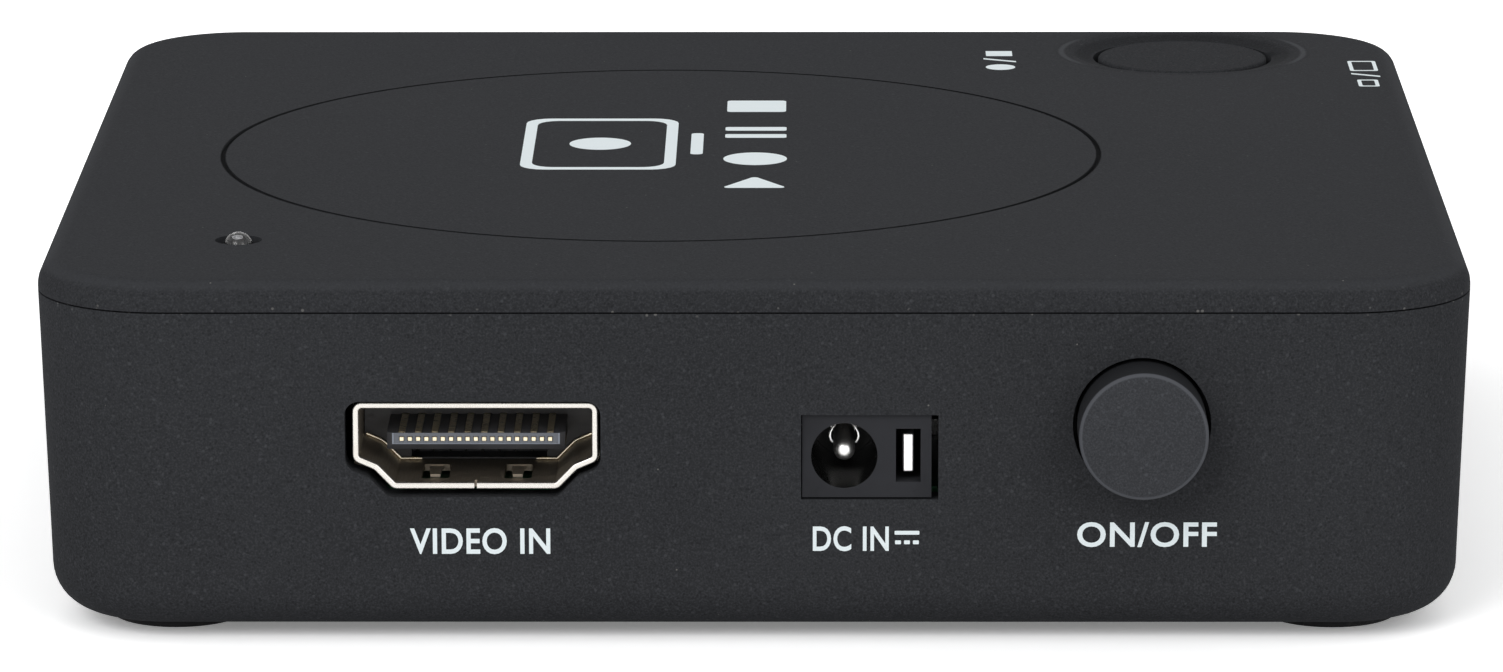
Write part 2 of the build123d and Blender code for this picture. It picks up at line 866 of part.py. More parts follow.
def power_cap():
    """The round cap, with a flange behind the wall and a square socket for the plunger."""
    cap = rod(power_x, power_z, power_cap_front_y, power_flange_y - power_cap_front_y, power_cap_radius)
    front = cap.edges().group_by(Axis.Y)[0]
    cap = fillet(front, power_cap_edge_radius)
    cap += rod(power_x, power_z, power_flange_y, power_flange_thickness, power_flange_radius)
    return cap - square_bar(power_bore_width, power_plunger_y, power_flange_back_y + overrun)


def power_switch_body():
    """The switch's case: a front wall with a square hole and a room for the collar and spring."""
    half = power_switch_width / 2
    body = block(
        power_x - half, power_x + half, power_body_y, power_body_back_y,
        board_top_z, board_top_z + power_switch_height,
    )
    body = chamfer(body.edges().filter_by(Axis.Y), power_switch_wall / 2)
    body -= square_bar(power_bore_width, power_body_y - overrun, power_collar_y)
    return body - square_bar(power_room_width, power_body_y + power_switch_wall, power_spring_back_y)


def power_plunger():
    """The square plunger and the collar that keeps it in the switch."""
    bar = square_bar(power_plunger_width, power_plunger_y + power_spring_seat_gap, power_collar_back_y)
    return bar + square_bar(power_collar_width, power_collar_y, power_collar_back_y)


def power_spring():
    """A coil from the collar to the switch's back wall."""
    seat = power_spring_seat_gap + power_spring_wire / 2
    start = power_collar_back_y + seat
    length = power_spring_back_y - seat - start
    coil = Helix(pitch=length / power_spring_turns, height=length, radius=power_spring_radius)
    section = Plane(origin=coil @ 0, z_dir=coil % 0) * Circle(power_spring_wire / 2)
    wire = sweep(section, path=coil)
    return Pos(power_x, start, power_z) * Rot(-90, 0, 0) * wire


def power_pin_places():
    """Two rows of three solder pins."""
    middle = (power_body_y + power_body_back_y) / 2
    return [
        (power_x + x, middle + y)
        for x in row_offsets(2, power_pin_row_spacing)
        for y in row_offsets(power_pin_rows, power_pin_pitch)
    ]


def power_pins():
    """The switch's flat solder pins, through the board."""
    low = board_under_z - leg_below_board
    pin = Box(power_pin_sheet, power_pin_width, board_top_z - low)
    return [Pos(x, y, (low + board_top_z) / 2) * pin for x, y in power_pin_places()]


# Record button

record_centre_y = case_y + record_y
led_centre_y = case_y + led_y
record_hole_radius = record_cap_radius + record_hole_clearance
record_slope = math.radians(record_dish_slope_degrees)
record_bend_radius = record_dish_radius - record_dish_rim_radius * math.sin(record_slope)
record_bend_z = lid_top_z - record_dish_rim_radius * (1 - math.cos(record_slope))
record_dish_z = record_bend_z - (record_bend_radius - record_hole_radius) * math.tan(record_slope)
record_cap_top_z = lid_top_z - record_cap_drop
record_collar_z = roof_under_z - record_collar_height
record_flange_top_z = record_collar_z - record_flange_gap
record_flange_low_z = record_flange_top_z - record_flange_thickness
tact_top_z = board_top_z + tact_height
tact_plunger_top_z = board_top_z + tact_plunger_height
boss_x = screw_x
boss_y = case_y + screw_y


def record_dish():
    """The dish round the record button, its hole included, as the shape to cut from the lid."""
    sky = lid_top_z + overrun
    rim = TangentArc((record_dish_radius, lid_top_z), (record_bend_radius, record_bend_z), tangent=(-1, 0))
    side = rim + Polyline(
        (record_bend_radius, record_bend_z), (record_hole_radius, record_dish_z),
        (record_hole_radius, record_collar_z - overrun), (0, record_collar_z - overrun),
        (0, sky), (record_dish_radius, sky), (record_dish_radius, lid_top_z),
    )
    return Pos(record_x, record_centre_y, 0) * revolve(Plane.XZ * make_face(side), axis=Axis.Z)


def record_cap():
    """The round cap: a flat top, a skirt, a flange under the lid's collar and a stem."""
    cap = column(record_x, record_centre_y, record_flange_low_z, record_cap_top_z, record_cap_radius)
    cap = fillet(cap.edges().group_by(Axis.Z)[-1], record_cap_edge_radius)
    cap += column(record_x, record_centre_y, record_flange_low_z, record_flange_top_z, record_flange_radius)
    cap -= column(
        record_x, record_centre_y, record_flange_low_z - overrun, record_cap_top_z - record_cap_skin,
        record_cap_radius - record_cap_wall,
    )
    skin_z = record_cap_top_z - record_cap_skin
    cap += column(record_x, record_centre_y, tact_plunger_top_z, skin_z, record_stem_radius)
    relief_radius = boss_radius + record_flange_relief
    return cap - column(
        boss_x, boss_y, record_flange_low_z - overrun, record_flange_top_z + overrun, relief_radius
    )


def tact_square(half, z0, z1):
    """A square slab on the record button's axis."""
    return block(record_x - half, record_x + half, record_centre_y - half, record_centre_y + half, z0, z1)


tact_well_radius = tact_plunger_radius + tact_plunger_clearance


def tact_body():
    """The tactile switch's moulded base, with a well for the plunger."""
    body = tact_square(tact_width / 2, board_top_z, tact_top_z - tact_plate)
    return body - column(
        record_x, record_centre_y, board_top_z + tact_well_floor, tact_top_z, tact_well_radius
    )


def tact_cover():
    """The metal plate on top, with a lug down two sides."""
    half = tact_width / 2
    plate = tact_square(half, tact_top_z - tact_plate, tact_top_z)
    for side in (-1, 1):
        x0, x1 = sorted((record_x + side * half, record_x + side * (half + tact_plate)))
        plate += block(
            x0, x1, record_centre_y - tact_plate_lug / 2, record_centre_y + tact_plate_lug / 2,
            tact_top_z - tact_height / 2, tact_top_z,
        )
    return plate - column(record_x, record_centre_y, board_top_z, tact_top_z + overrun, tact_well_radius)


def tact_pins():
    """Four gull-wing pins, two on the front side and two on the back."""
    half = tact_width / 2
    low = board_top_z
    pins = []
    for sx in (-1, 1):
        x0 = record_x + sx * (half - tact_pin_inset) - tact_pin_width / 2
        x1 = x0 + tact_pin_width
        for sy in (-1, 1):
            y0, y1 = sorted((record_centre_y + sy * half, record_centre_y + sy * (half + tact_pin_sheet)))
            drop = block(x0, x1, y0, y1, low, low + tact_height / 2)
            y0, y1 = sorted((record_centre_y + sy * half, record_centre_y + sy * (half + tact_pin_reach)))
            pins.append(drop + block(x0, x1, y0, y1, low, low + tact_pin_sheet))
    return pins


def tact_plunger():
    """The round plunger that the cap's stem rests on."""
    foot_z = board_top_z + tact_well_floor + record_travel + tact_plunger_foot_clearance
    return column(record_x, record_centre_y, foot_z, tact_plunger_top_z, tact_plunger_radius)


# Status light

led_top_z = lid_top_z + led_proud
led_base_z = led_top_z - led_length
led_hole_radius = led_radius + led_hole_clearance


def led_lens():
    """The clear lens: a domed cylinder on a small flange."""
    shank = column(led_x, led_centre_y, led_base_z, led_top_z - led_radius, led_radius)
    dome = Pos(led_x, led_centre_y, led_top_z - led_radius) * Sphere(led_radius)
    flange = column(led_x, led_centre_y, led_base_z, led_base_z + led_flange_height, led_flange_radius)
    return shank + dome + flange


def led_leg(offset_x, grow, z0, z1):
    """A square leg, or the channel round it."""
    half = led_leg_width / 2 + grow
    x = led_x + offset_x
    return block(x - half, x + half, led_centre_y - half, led_centre_y + half, z0, z1)


def led_legs():
    """The two legs, from the lens down through the board."""
    return [
        led_leg(x, 0, board_under_z - led_leg_below_board, led_base_z) for x in row_offsets(2, led_leg_pitch)
    ]


def led_spacer():
    """The plastic sleeve that holds the lens at the lid."""
    sleeve = column(led_x, led_centre_y, board_top_z, led_base_z - led_spacer_gap, led_spacer_radius)
    for x in row_offsets(2, led_leg_pitch):
        sleeve -= led_leg(x, led_leg_clearance, board_top_z - overrun, led_base_z + overrun)
    return sleeve


# Covers

screw_head_z = post_top_z + boss_gap + cover_screw_bite - cover_screw_length


def screw_axis_places():
    """X and Y of the four cover screws."""
    return [(sx * screw_x, case_y + sy * screw_y) for sx, sy in corners]


def foot_places():
    """X and Y of the four feet."""
    return [(sx * foot_x, case_y + sy * foot_y) for sx, sy in corners]


def wall_openings():
    """What is cut from the walls for the sockets and the power button."""
    through = wall + 2 * overrun
    video = offset(video_outline(), amount=video_cut_clearance)
    drive = Pos(0, drive_axis_z) * RectangleRounded(
        drive_width + 2 * drive_cut_clearance, drive_height + 2 * drive_cut_clearance,
        drive_corner_radius + drive_cut_clearance,
    )
    jack = block(
        -jack_width / 2 - jack_cut_clearance, jack_width / 2 + jack_cut_side_clearance,
        -overrun, through - overrun, -jack_cut_clearance, jack_height + jack_cut_clearance,
    )
    audio = rod(0, audio_axis_z, -overrun, through, audio_nose_radius + audio_nose_clearance)
    return [
        video_in_place * Pos(video_in_cut_slip_x, 0, video_in_cut_slip_z) * inward(video, -overrun, through),
        video_out_place * inward(video, -overrun, through),
        drive_place * inward(drive, -overrun, through),
        jack_place * jack,
        audio_place * audio,
        rod(power_x, power_z, front_y - overrun, through + wall, power_hole_radius),
    ]


board_inset = wall + wall_inset(board_under_z) + board_clearance
board_half_width = case_width / 2 - board_inset
board_half_depth = case_depth / 2 - board_inset


def board_places(x_shares, y_shares):
    """Places on the board, given as shares of its half sizes."""
    return [(xs * board_half_width, case_y + ys * board_half_depth) for xs, ys in zip(x_shares, y_shares)]


processor_x = processor_x_share * board_half_width
processor_centre_y = case_y + processor_y_share * board_half_depth
receiver_y = case_y + receiver_y_share * board_half_depth
transmitter_y = case_y + transmitter_y_share * board_half_depth
flash_x = flash_x_share * board_half_width
flash_y = case_y + flash_y_share * board_half_depth
crystal_x = crystal_x_share * board_half_width
crystal_y = case_y + crystal_y_share * board_half_depth
memory_x = processor_x + (processor_size + memory_width) / 2 + memory_gap
passive_row_width = (passive_count - 1) * passive_spacing + passive_width
passive_x = memory_x + (memory_width + passive_row_width) / 2 + passive_gap
passive_y = case_y + passive_y_share * board_half_depth


def bottom_cover():
    """The lower cover: a drafted tub with a rabbet, posts, standoffs, foot recesses and vents."""
    tub = drafted_tub(0, parting_z, underside_z)
    tub = fillet(tub.edges().group_by(Axis.Z)[0], base_edge_radius)
    inside = drafted_tub(wall, parting_z, floor_top_z)
    tub -= inside
    tub -= rounded_plate(rabbet_wall, parting_z - lip_height - rabbet_slack, parting_z + overrun)
    for (x, y), (sx, sy) in zip(screw_axis_places(), corners):
        ribs = block(
            min(x, sx * (case_width / 2 - wall)), max(x, sx * (case_width / 2 - wall)),
            y - rib_thickness / 2, y + rib_thickness / 2, floor_top_z - overrun, floor_top_z + rib_height,
        )
        y_wall = case_y + sy * (case_depth / 2 - wall)
        ribs += block(
            x - rib_thickness / 2, x + rib_thickness / 2, min(y, y_wall), max(y, y_wall),
            floor_top_z - overrun, floor_top_z + rib_height,
        )
        tub += ribs & drafted_tub(wall / 2, parting_z, floor_top_z - overrun)
        tub += column(x, y, floor_top_z - overrun, post_top_z, post_radius)
    for sx, sy in corners:
        x, y = sx * board_screw_x, case_y + sy * board_screw_y
        tub += column(x, y, floor_top_z - overrun, board_under_z, standoff_radius)
        tub -= column(
            x, y, board_under_z - board_screw_pilot_depth, board_under_z + overrun,
            board_screw_radius + screw_pilot_clearance,
        )
    head_hole_radius = cover_screw_head_radius + screw_hole_clearance
    shank_hole_radius = cover_screw_radius + screw_hole_clearance
    for (x, y), (fx, fy) in zip(screw_axis_places(), foot_places()):
        tub -= column(fx, fy, underside_z - overrun, underside_z + foot_recess, foot_radius + foot_clearance)
        tub -= column(x, y, underside_z - overrun, screw_head_z, head_hole_radius)
        tub -= column(x, y, underside_z, post_top_z + overrun, shank_hole_radius)
    slot_plan = SlotOverall(vent_length, vent_width, rotation=90)
    slot = extrude(slot_plan, amount=floor_thickness + 2 * overrun)
    for row in row_offsets(2, vent_row_spacing):
        for x in row_offsets(vent_count, vent_pitch):
            tub -= Pos(processor_x + x, processor_centre_y + row, underside_z - overrun) * slot
    for opening in wall_openings():
        tub -= opening
    return tub


def top_cover():
    """The lid: a rounded plate with a lip, screw bosses, the dish and hole of the record button."""
    lid = rounded_plate(0, parting_z + parting_gap, lid_top_z)
    lid = fillet(lid.edges().group_by(Axis.Z)[-1], lid_edge_radius)
    lid -= rounded_plate(wall, parting_z, roof_under_z)
    lip = rounded_plate(rabbet_wall + lip_clearance, parting_z - lip_height, roof_under_z)
    lid += lip - rounded_plate(wall, parting_z - lip_height - overrun, roof_under_z + overrun)
    for x, y in screw_axis_places():
        lid += column(x, y, post_top_z + boss_gap, roof_under_z + roof_thickness / 2, boss_radius)
        lid -= column(x, y, post_top_z, roof_under_z, cover_screw_radius + screw_pilot_clearance)
    lid += column(
        record_x, record_centre_y, record_collar_z, roof_under_z + roof_thickness / 2,
        record_hole_radius + record_collar_wall,
    )
    lid -= record_dish()
    lid -= column(led_x, led_centre_y, parting_z - overrun, lid_top_z + overrun, led_hole_radius)
    ring_radius = ring_diameter / 2
    half = ring_groove_width / 2
    ring = Circle(ring_radius + half) - Circle(ring_radius - half)
    groove = extrude(ring, amount=ring_groove_depth + overrun)
    return lid - Pos(ring_x, case_y + ring_y, lid_top_z - ring_groove_depth) * groove


def foot(x, y):
    """A rubber foot in its recess."""
    pad = column(x, y, 0, underside_z + foot_recess, foot_radius)
    return fillet(pad.edges().group_by(Axis.Z)[0], foot_edge_radius)


def cover_screw(x, y):
    """A pan-head screw driven upwards into the lid's boss."""
    head = column(x, y, screw_head_z - cover_screw_head_height, screw_head_z, cover_screw_head_radius)
    head -= column(
        x, y, screw_head_z - cover_screw_head_height - overrun,
        screw_head_z - cover_screw_head_height + screw_recess_depth, screw_recess_radius,
    )
    return head + column(x, y, screw_head_z, screw_head_z + cover_screw_length, cover_screw_radius)


def board_screw(x, y):
    """A pan-head screw driven downwards into a standoff."""
    head = column(x, y, board_top_z, board_top_z + board_screw_head_height, board_screw_head_radius)
    head -= column(
        x, y, board_top_z + board_screw_head_height - screw_recess_depth,
        board_top_z + board_screw_head_height + overrun, screw_recess_radius,
    )
    return head + column(x, y, board_top_z - board_screw_length, board_top_z, board_screw_radius)


def board_screw_places():
    """X and Y of the four board screws."""
    return [(sx * board_screw_x, case_y + sy * board_screw_y) for sx, sy in corners]


def main_board():
    """The circuit board, notched at the corners for the posts and pierced for screws and legs."""
    plan = Rectangle(2 * board_half_width, 2 * board_half_depth)
    notch = post_radius + board_notch_clearance
    for sx, sy in corners:
        size_x = board_half_width - (screw_x - notch)
        size_y = board_half_depth - (screw_y - notch)
        centre = Pos(sx * (board_half_width - size_x / 2), sy * (board_half_depth - size_y / 2))
        plan -= centre * Rectangle(size_x, size_y)
    inner = plan.vertices().filter_by(
        lambda v: abs(abs(v.X) - (screw_x - notch)) < board_notch_clearance
        and abs(abs(v.Y) - (screw_y - notch)) < board_notch_clearance
    )
    plan = fillet(inner, board_notch_radius)
    board = Pos(0, case_y, board_under_z) * extrude(plan, amount=board_thickness)
    notch = power_flange_radius + board_notch_clearance
    board -= block(
        power_x - notch, power_x + notch, front_y, power_body_y - power_stop_gap / 2,
        board_under_z - overrun, board_top_z + overrun,
    )
    for x, y in board_screw_places():
        board -= column(
            x, y, board_under_z - overrun, board_top_z + overrun, board_screw_radius + screw_hole_clearance
        )
    for place, holes in (
        (video_in_place, video_leg_holes()),
        (video_out_place, video_leg_holes()),
        (drive_place, drive_leg_holes()),
        (jack_place, jack_board_holes()),
    ):
        for hole in holes:
            board -= place * hole
    half = drive_width / 2 - drive_contact_width
    board -= drive_place * block(
        -half, half, drive_depth - leg_hole_clearance,
        drive_depth + drive_contact_sheet + 2 * leg_hole_clearance, -board_thickness - overrun, overrun,
    )
    pin_hole_radius = power_pin_width / 2 + leg_hole_clearance
    for x, y in power_pin_places():
        board -= column(x, y, board_under_z - overrun, board_top_z + overrun, pin_hole_radius)
    for x in row_offsets(2, led_leg_pitch):
        board -= led_leg(x, led_leg_clearance, board_under_z - overrun, board_top_z + overrun)
    return board


# Parts on the board


def flat_chip(x, y, width, depth, height):
    """A plain package with bevelled upper edges, standing just clear of the board."""
    low = board_top_z + chip_lift
    package = block(x - width / 2, x + width / 2, y - depth / 2, y + depth / 2, low, low + height)
    return chamfer(package.faces().sort_by(Axis.Z)[-1].edges(), chip_lift)


def lead_frame(x, y):
    """The leads on the four sides of a square package, each down to the board."""
    low = board_top_z
    half = interface_size / 2
    leads = []
    for turn in range(4):
        for offset_x in row_offsets(interface_leads, interface_lead_pitch):
            foot_part = block(
                offset_x - interface_lead_width / 2, offset_x + interface_lead_width / 2,
                half, half + interface_lead_length, 0, interface_lead_sheet,
            )
            riser = block(
                offset_x - interface_lead_width / 2, offset_x + interface_lead_width / 2,
                half, half + interface_lead_sheet, 0, interface_height / 2,
            )
            leads.append(Pos(x, y, low) * Rot(0, 0, 90 * turn) * (foot_part + riser))
    return leads


processor_top_z = board_top_z + chip_lift + processor_height
pad_top_z = processor_top_z + pad_thickness


def processor():
    """The processor: a thin carrier with a raised lid."""
    low = board_top_z + chip_lift
    half = processor_size / 2
    x, y = processor_x, processor_centre_y
    carrier = block(x - half, x + half, y - half, y + half, low, low + processor_substrate)
    half -= processor_lid_inset
    return carrier + block(x - half, x + half, y - half, y + half, low, processor_top_z)


def thermal_pad():
    """The soft pad between the processor and the heat sink."""
    half = processor_size / 2 - processor_lid_inset - pad_inset
    x, y = processor_x, processor_centre_y
    return block(x - half, x + half, y - half, y + half, processor_top_z, pad_top_z)


def heat_sink():
    """An extruded sink: a base plate and straight fins."""
    half = sink_size / 2
    x, y = processor_x, processor_centre_y
    sink = block(x - half, x + half, y - half, y + half, pad_top_z, pad_top_z + sink_base)
    for fin_x in row_offsets(sink_fins, (sink_size - sink_fin) / (sink_fins - 1)):
        left = x + fin_x - sink_fin / 2
        sink += block(left, left + sink_fin, y - half, y + half, pad_top_z, pad_top_z + sink_height)
    return sink


def capacitor(x, y):
    """A can capacitor on a square base, with a pinched groove near its foot."""
    half = can_base_width / 2
    base = block(x - half, x + half, y - half, y + half, board_top_z, board_top_z + can_base_height)
    can = column(x, y, board_top_z + can_base_height, board_top_z + can_height, can_radius)
    pinch = board_top_z + 2 * can_base_height
    ring = column(x, y, pinch, pinch + can_groove, can_radius + overrun)
    ring -= column(x, y, pinch, pinch + can_groove, can_radius - can_groove)
    return base + (can - ring)


def inductor(x, y):
    """A moulded power inductor with cut corners."""
    half = inductor_size / 2
    body = block(x - half, x + half, y - half, y + half, board_top_z, board_top_z + inductor_height)
    return chamfer(body.edges().filter_by(Axis.Z), inductor_corner)


def crystal():
    """The clock crystal's can."""
    plan = Pos(crystal_x, crystal_y) * SlotOverall(crystal_length, crystal_width, rotation=90)
    return Pos(0, 0, board_top_z) * extrude(plan, amount=crystal_height)


def passives():
    """Small chip components in rows."""
    chips = []
    for dy in row_offsets(passive_rows, passive_spacing):
        for dx in row_offsets(passive_count, passive_spacing):
            chip = Box(passive_width, passive_length, passive_height)
            place = Pos(passive_x + dx, passive_y + dy, board_top_z + passive_height / 2)
            chips.append(place * chip)
    return chips


os.makedirs("parts", exist_ok=True)
save("bottom_cover", bottom_cover())
save("top_cover", top_cover())
foot_names = ("foot_front_left", "foot_front_right", "foot_back_right", "foot_back_left")
for foot_name, (x, y) in zip(foot_names, foot_places()):
    save(foot_name, foot(x, y))
save("cover_screws", *[cover_screw(x, y) for x, y in screw_axis_places()])
save("main_board", main_board())
save("board_screws", *[board_screw(x, y) for x, y in board_screw_places()])
for socket_name, place in (("video_in", video_in_place), ("video_out", video_out_place)):
    save(f"{socket_name}_shell", place * video_shell())
    save(f"{socket_name}_insulator", place * video_insulator())
    save(f"{socket_name}_contacts", *[place * video_contact(*row) for row in video_contact_rows()])
save("drive_socket_shell", drive_place * drive_shell())
save("drive_socket_insulator", drive_place * drive_insulator())
save(
    "drive_socket_contacts",
    *[drive_place * drive_contact(x) for x in row_offsets(drive_contacts, drive_contact_pitch)],
)
save("power_jack_body", jack_place * jack_body())
save("power_jack_pin", jack_place * jack_pin())
save("power_jack_spring", jack_place * jack_spring())
save("power_jack_switch_contact", jack_place * jack_tab())
save("audio_jack_body", audio_place * audio_body())
save("audio_jack_contacts", *[audio_place * audio_contact(side) for side in (-1, 1)])
save("power_button_cap", power_cap())
save("power_switch_body", power_switch_body())
save("power_switch_plunger", power_plunger())
save("power_switch_spring", power_spring())
save("power_switch_pins", *power_pins())
save("record_button_cap", record_cap())
save("record_switch_body", tact_body())
save("record_switch_cover", tact_cover())
save("record_switch_plunger", tact_plunger())
save("record_switch_pins", *tact_pins())
save("status_light_lens", led_lens())
save("status_light_legs", *led_legs())
save("status_light_spacer", led_spacer())
save("processor", processor())
save("thermal_pad", thermal_pad())
save("heat_sink", heat_sink())
save(
    "memory_chips",
    *[
        flat_chip(
            memory_x, processor_centre_y + dy, memory_width, memory_depth, memory_height
        )
        for dy in row_offsets(2, memory_spacing)
    ],
)
for chip_name, x, y in (
    ("receiver_chip", video_in_x, receiver_y),
    ("transmitter_chip", video_out_x, transmitter_y),
):
    save(chip_name, flat_chip(x, y, interface_size, interface_size, interface_height))
    save(f"{chip_name}_leads", *lead_frame(x, y))
save("flash_chip", flat_chip(flash_x, flash_y, flash_width, flash_depth, flash_height))
save("capacitors", *[capacitor(x, y) for x, y in board_places(can_places_x_shares, can_places_y_shares)])
save(
    "inductors",
    *[inductor(x, y) for x, y in board_places(inductor_places_x_shares, inductor_places_y_shares)],
)
save("clock_crystal", crystal())
save("chip_components", *passives())

# Where the outside meets the part, for whoever fits a plug or stands it on a shelf
for label, place, axis_z in (
    ("video in", video_in_place, video_axis_z),
    ("video out", video_out_place, video_axis_z),
    ("drive socket", drive_place, drive_axis_z),
    ("audio jack", audio_place, audio_axis_z),
    ("power jack", jack_place, jack_axis_z),
):
    print(label, "mouth", place.position + Vector(0, 0, axis_z))
print("power jack bore x", jack_x + jack_bore_local_x)
print("first foot", foot_places()[0])
print("record button", record_x, record_centre_y)
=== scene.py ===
"""A small video capture box in its studio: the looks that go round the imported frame."""

import logging
import math
from dataclasses import dataclass
from enum import Enum
from typing import Callable, Iterable, Sequence

import bmesh
import bpy
import numpy as np
from mathutils import Matrix, Vector


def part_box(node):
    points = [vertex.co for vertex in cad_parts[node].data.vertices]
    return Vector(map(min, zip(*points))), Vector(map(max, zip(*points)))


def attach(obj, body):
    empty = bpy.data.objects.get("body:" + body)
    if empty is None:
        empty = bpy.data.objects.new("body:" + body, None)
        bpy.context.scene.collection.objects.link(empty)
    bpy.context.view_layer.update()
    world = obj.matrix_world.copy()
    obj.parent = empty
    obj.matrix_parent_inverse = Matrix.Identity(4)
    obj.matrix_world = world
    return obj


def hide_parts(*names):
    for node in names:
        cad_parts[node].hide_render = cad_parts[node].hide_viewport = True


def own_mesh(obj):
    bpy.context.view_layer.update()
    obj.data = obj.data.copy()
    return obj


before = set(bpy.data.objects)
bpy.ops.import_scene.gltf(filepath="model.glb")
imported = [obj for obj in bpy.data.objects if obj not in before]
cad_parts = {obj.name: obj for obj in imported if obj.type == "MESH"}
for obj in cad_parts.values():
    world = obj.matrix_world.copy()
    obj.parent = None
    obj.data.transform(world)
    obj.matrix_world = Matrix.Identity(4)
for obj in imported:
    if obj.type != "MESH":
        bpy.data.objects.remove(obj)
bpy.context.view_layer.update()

LOG = logging.getLogger("capture_box")
MM = 0.001
BOARD_TOP = 9.25 * MM
POLE = 1e-6  # radius of a turned profile's end point on its axis
NODES: dict[str, bpy.types.Object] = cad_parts

Point = tuple[float, float, float]
Loop = list[Point]
Rgb = tuple[float, float, float]
Flat = tuple[float, float]


class Axis(Enum):
    """The shared frame's three directions, as vectors."""

    X = (1.0, 0.0, 0.0)
    Y = (0.0, 1.0, 0.0)
    Z = (0.0, 0.0, 1.0)


class Body(Enum):
    """The bodies that a piece can ride on."""

    HOUSING = "housing"
    POWER = "power_button"
    RECORD = "record_button"


# Shader sockets and nodes


class Wire:
    """A number in a shader that Python's own signs work on."""

    def __init__(self, nodes: "Nodes", socket: bpy.types.NodeSocket) -> None:
        """Keeps the socket and the tree that it belongs to."""
        self.nodes = nodes
        self.socket = socket

    def maths(self, operation: str, *others: "Wire | float") -> "Wire":
        """Adds one Math node.

        Args:
            operation: the node's operation.
            others: the second and third operand.

        Returns:
            The node's result.
        """
        node = self.nodes.node("ShaderNodeMath", {"operation": operation}, dict(enumerate((self, *others))))
        return Wire(self.nodes, node.outputs[0])

    def __add__(self, other: "Wire | float") -> "Wire":
        """Sum."""
        return self.maths("ADD", other)

    __radd__ = __add__

    def __mul__(self, other: "Wire | float") -> "Wire":
        """Product."""
        return self.maths("MULTIPLY", other)

    __rmul__ = __mul__

    def __sub__(self, other: "Wire | float") -> "Wire":
        """Difference."""
        return self.maths("SUBTRACT", other)

    def __rsub__(self, other: float) -> "Wire":
        """Difference from a number."""
        return self.maths("MULTIPLY_ADD", -1.0, other)

    def __truediv__(self, other: "Wire | float") -> "Wire":
        """Quotient."""
        return self.maths("DIVIDE", other)

    def __rtruediv__(self, other: float) -> "Wire":
        """Quotient of a number by this one."""
        node = self.nodes.node("ShaderNodeMath", {"operation": "DIVIDE"}, {0: other, 1: self})
        return Wire(self.nodes, node.outputs[0])

    def ramp(self, low: float, high: float, start: float = 0.0, end: float = 1.0) -> "Wire":
        """Maps low..high smoothly onto start..end.

        Args:
            low: where the ramp starts.
            high: where it ends.
            start: result below low.
            end: result above high.

        Returns:
            The mapped number.
        """
        node = self.nodes.node(
            "ShaderNodeMapRange", {"interpolation_type": "SMOOTHSTEP"},
            {"Value": self, "From Min": low, "From Max": high, "To Min": start, "To Max": end},
        )
        return Wire(self.nodes, node.outputs["Result"])


class Nodes:
    """A node tree and the one method that adds to it."""

    def __init__(self, tree: bpy.types.NodeTree) -> None:
        """Empties the tree."""
        self.tree = tree
        self.tree.nodes.clear()

    def node(self, kind: str, settings: dict | None = None, values: dict | None = None) -> bpy.types.Node:
        """Makes a node.

        Args:
            kind: the node's type.
            settings: its properties, set before its sockets.
            values: numbers, colours, wires or sockets by socket name or number.

        Returns:
            The node.
        """
        made = self.tree.nodes.new(kind)
        for key, value in (settings or {}).items():
            setattr(made, key, value)
        for key, value in (values or {}).items():
            socket = made.inputs[key]
            if isinstance(value, Wire):
                self.tree.links.new(value.socket, socket)
            elif isinstance(value, bpy.types.NodeSocket):
                self.tree.links.new(value, socket)
            elif isinstance(value, tuple) and len(value) == 3 and socket.type == "RGBA":
                socket.default_value = (*value, 1.0)
            else:
                socket.default_value = value
        return made

    def seen(self) -> Wire:
        """1 for rays from the camera, in reflections and through glass, 0 for the rest."""
        rays = self.node("ShaderNodeLightPath")
        seen = Wire(self, rays.outputs["Is Camera Ray"])
        for kind in ("Is Glossy Ray", "Is Transmission Ray"):
            seen = seen.maths("MAXIMUM", Wire(self, rays.outputs[kind]))
        return seen


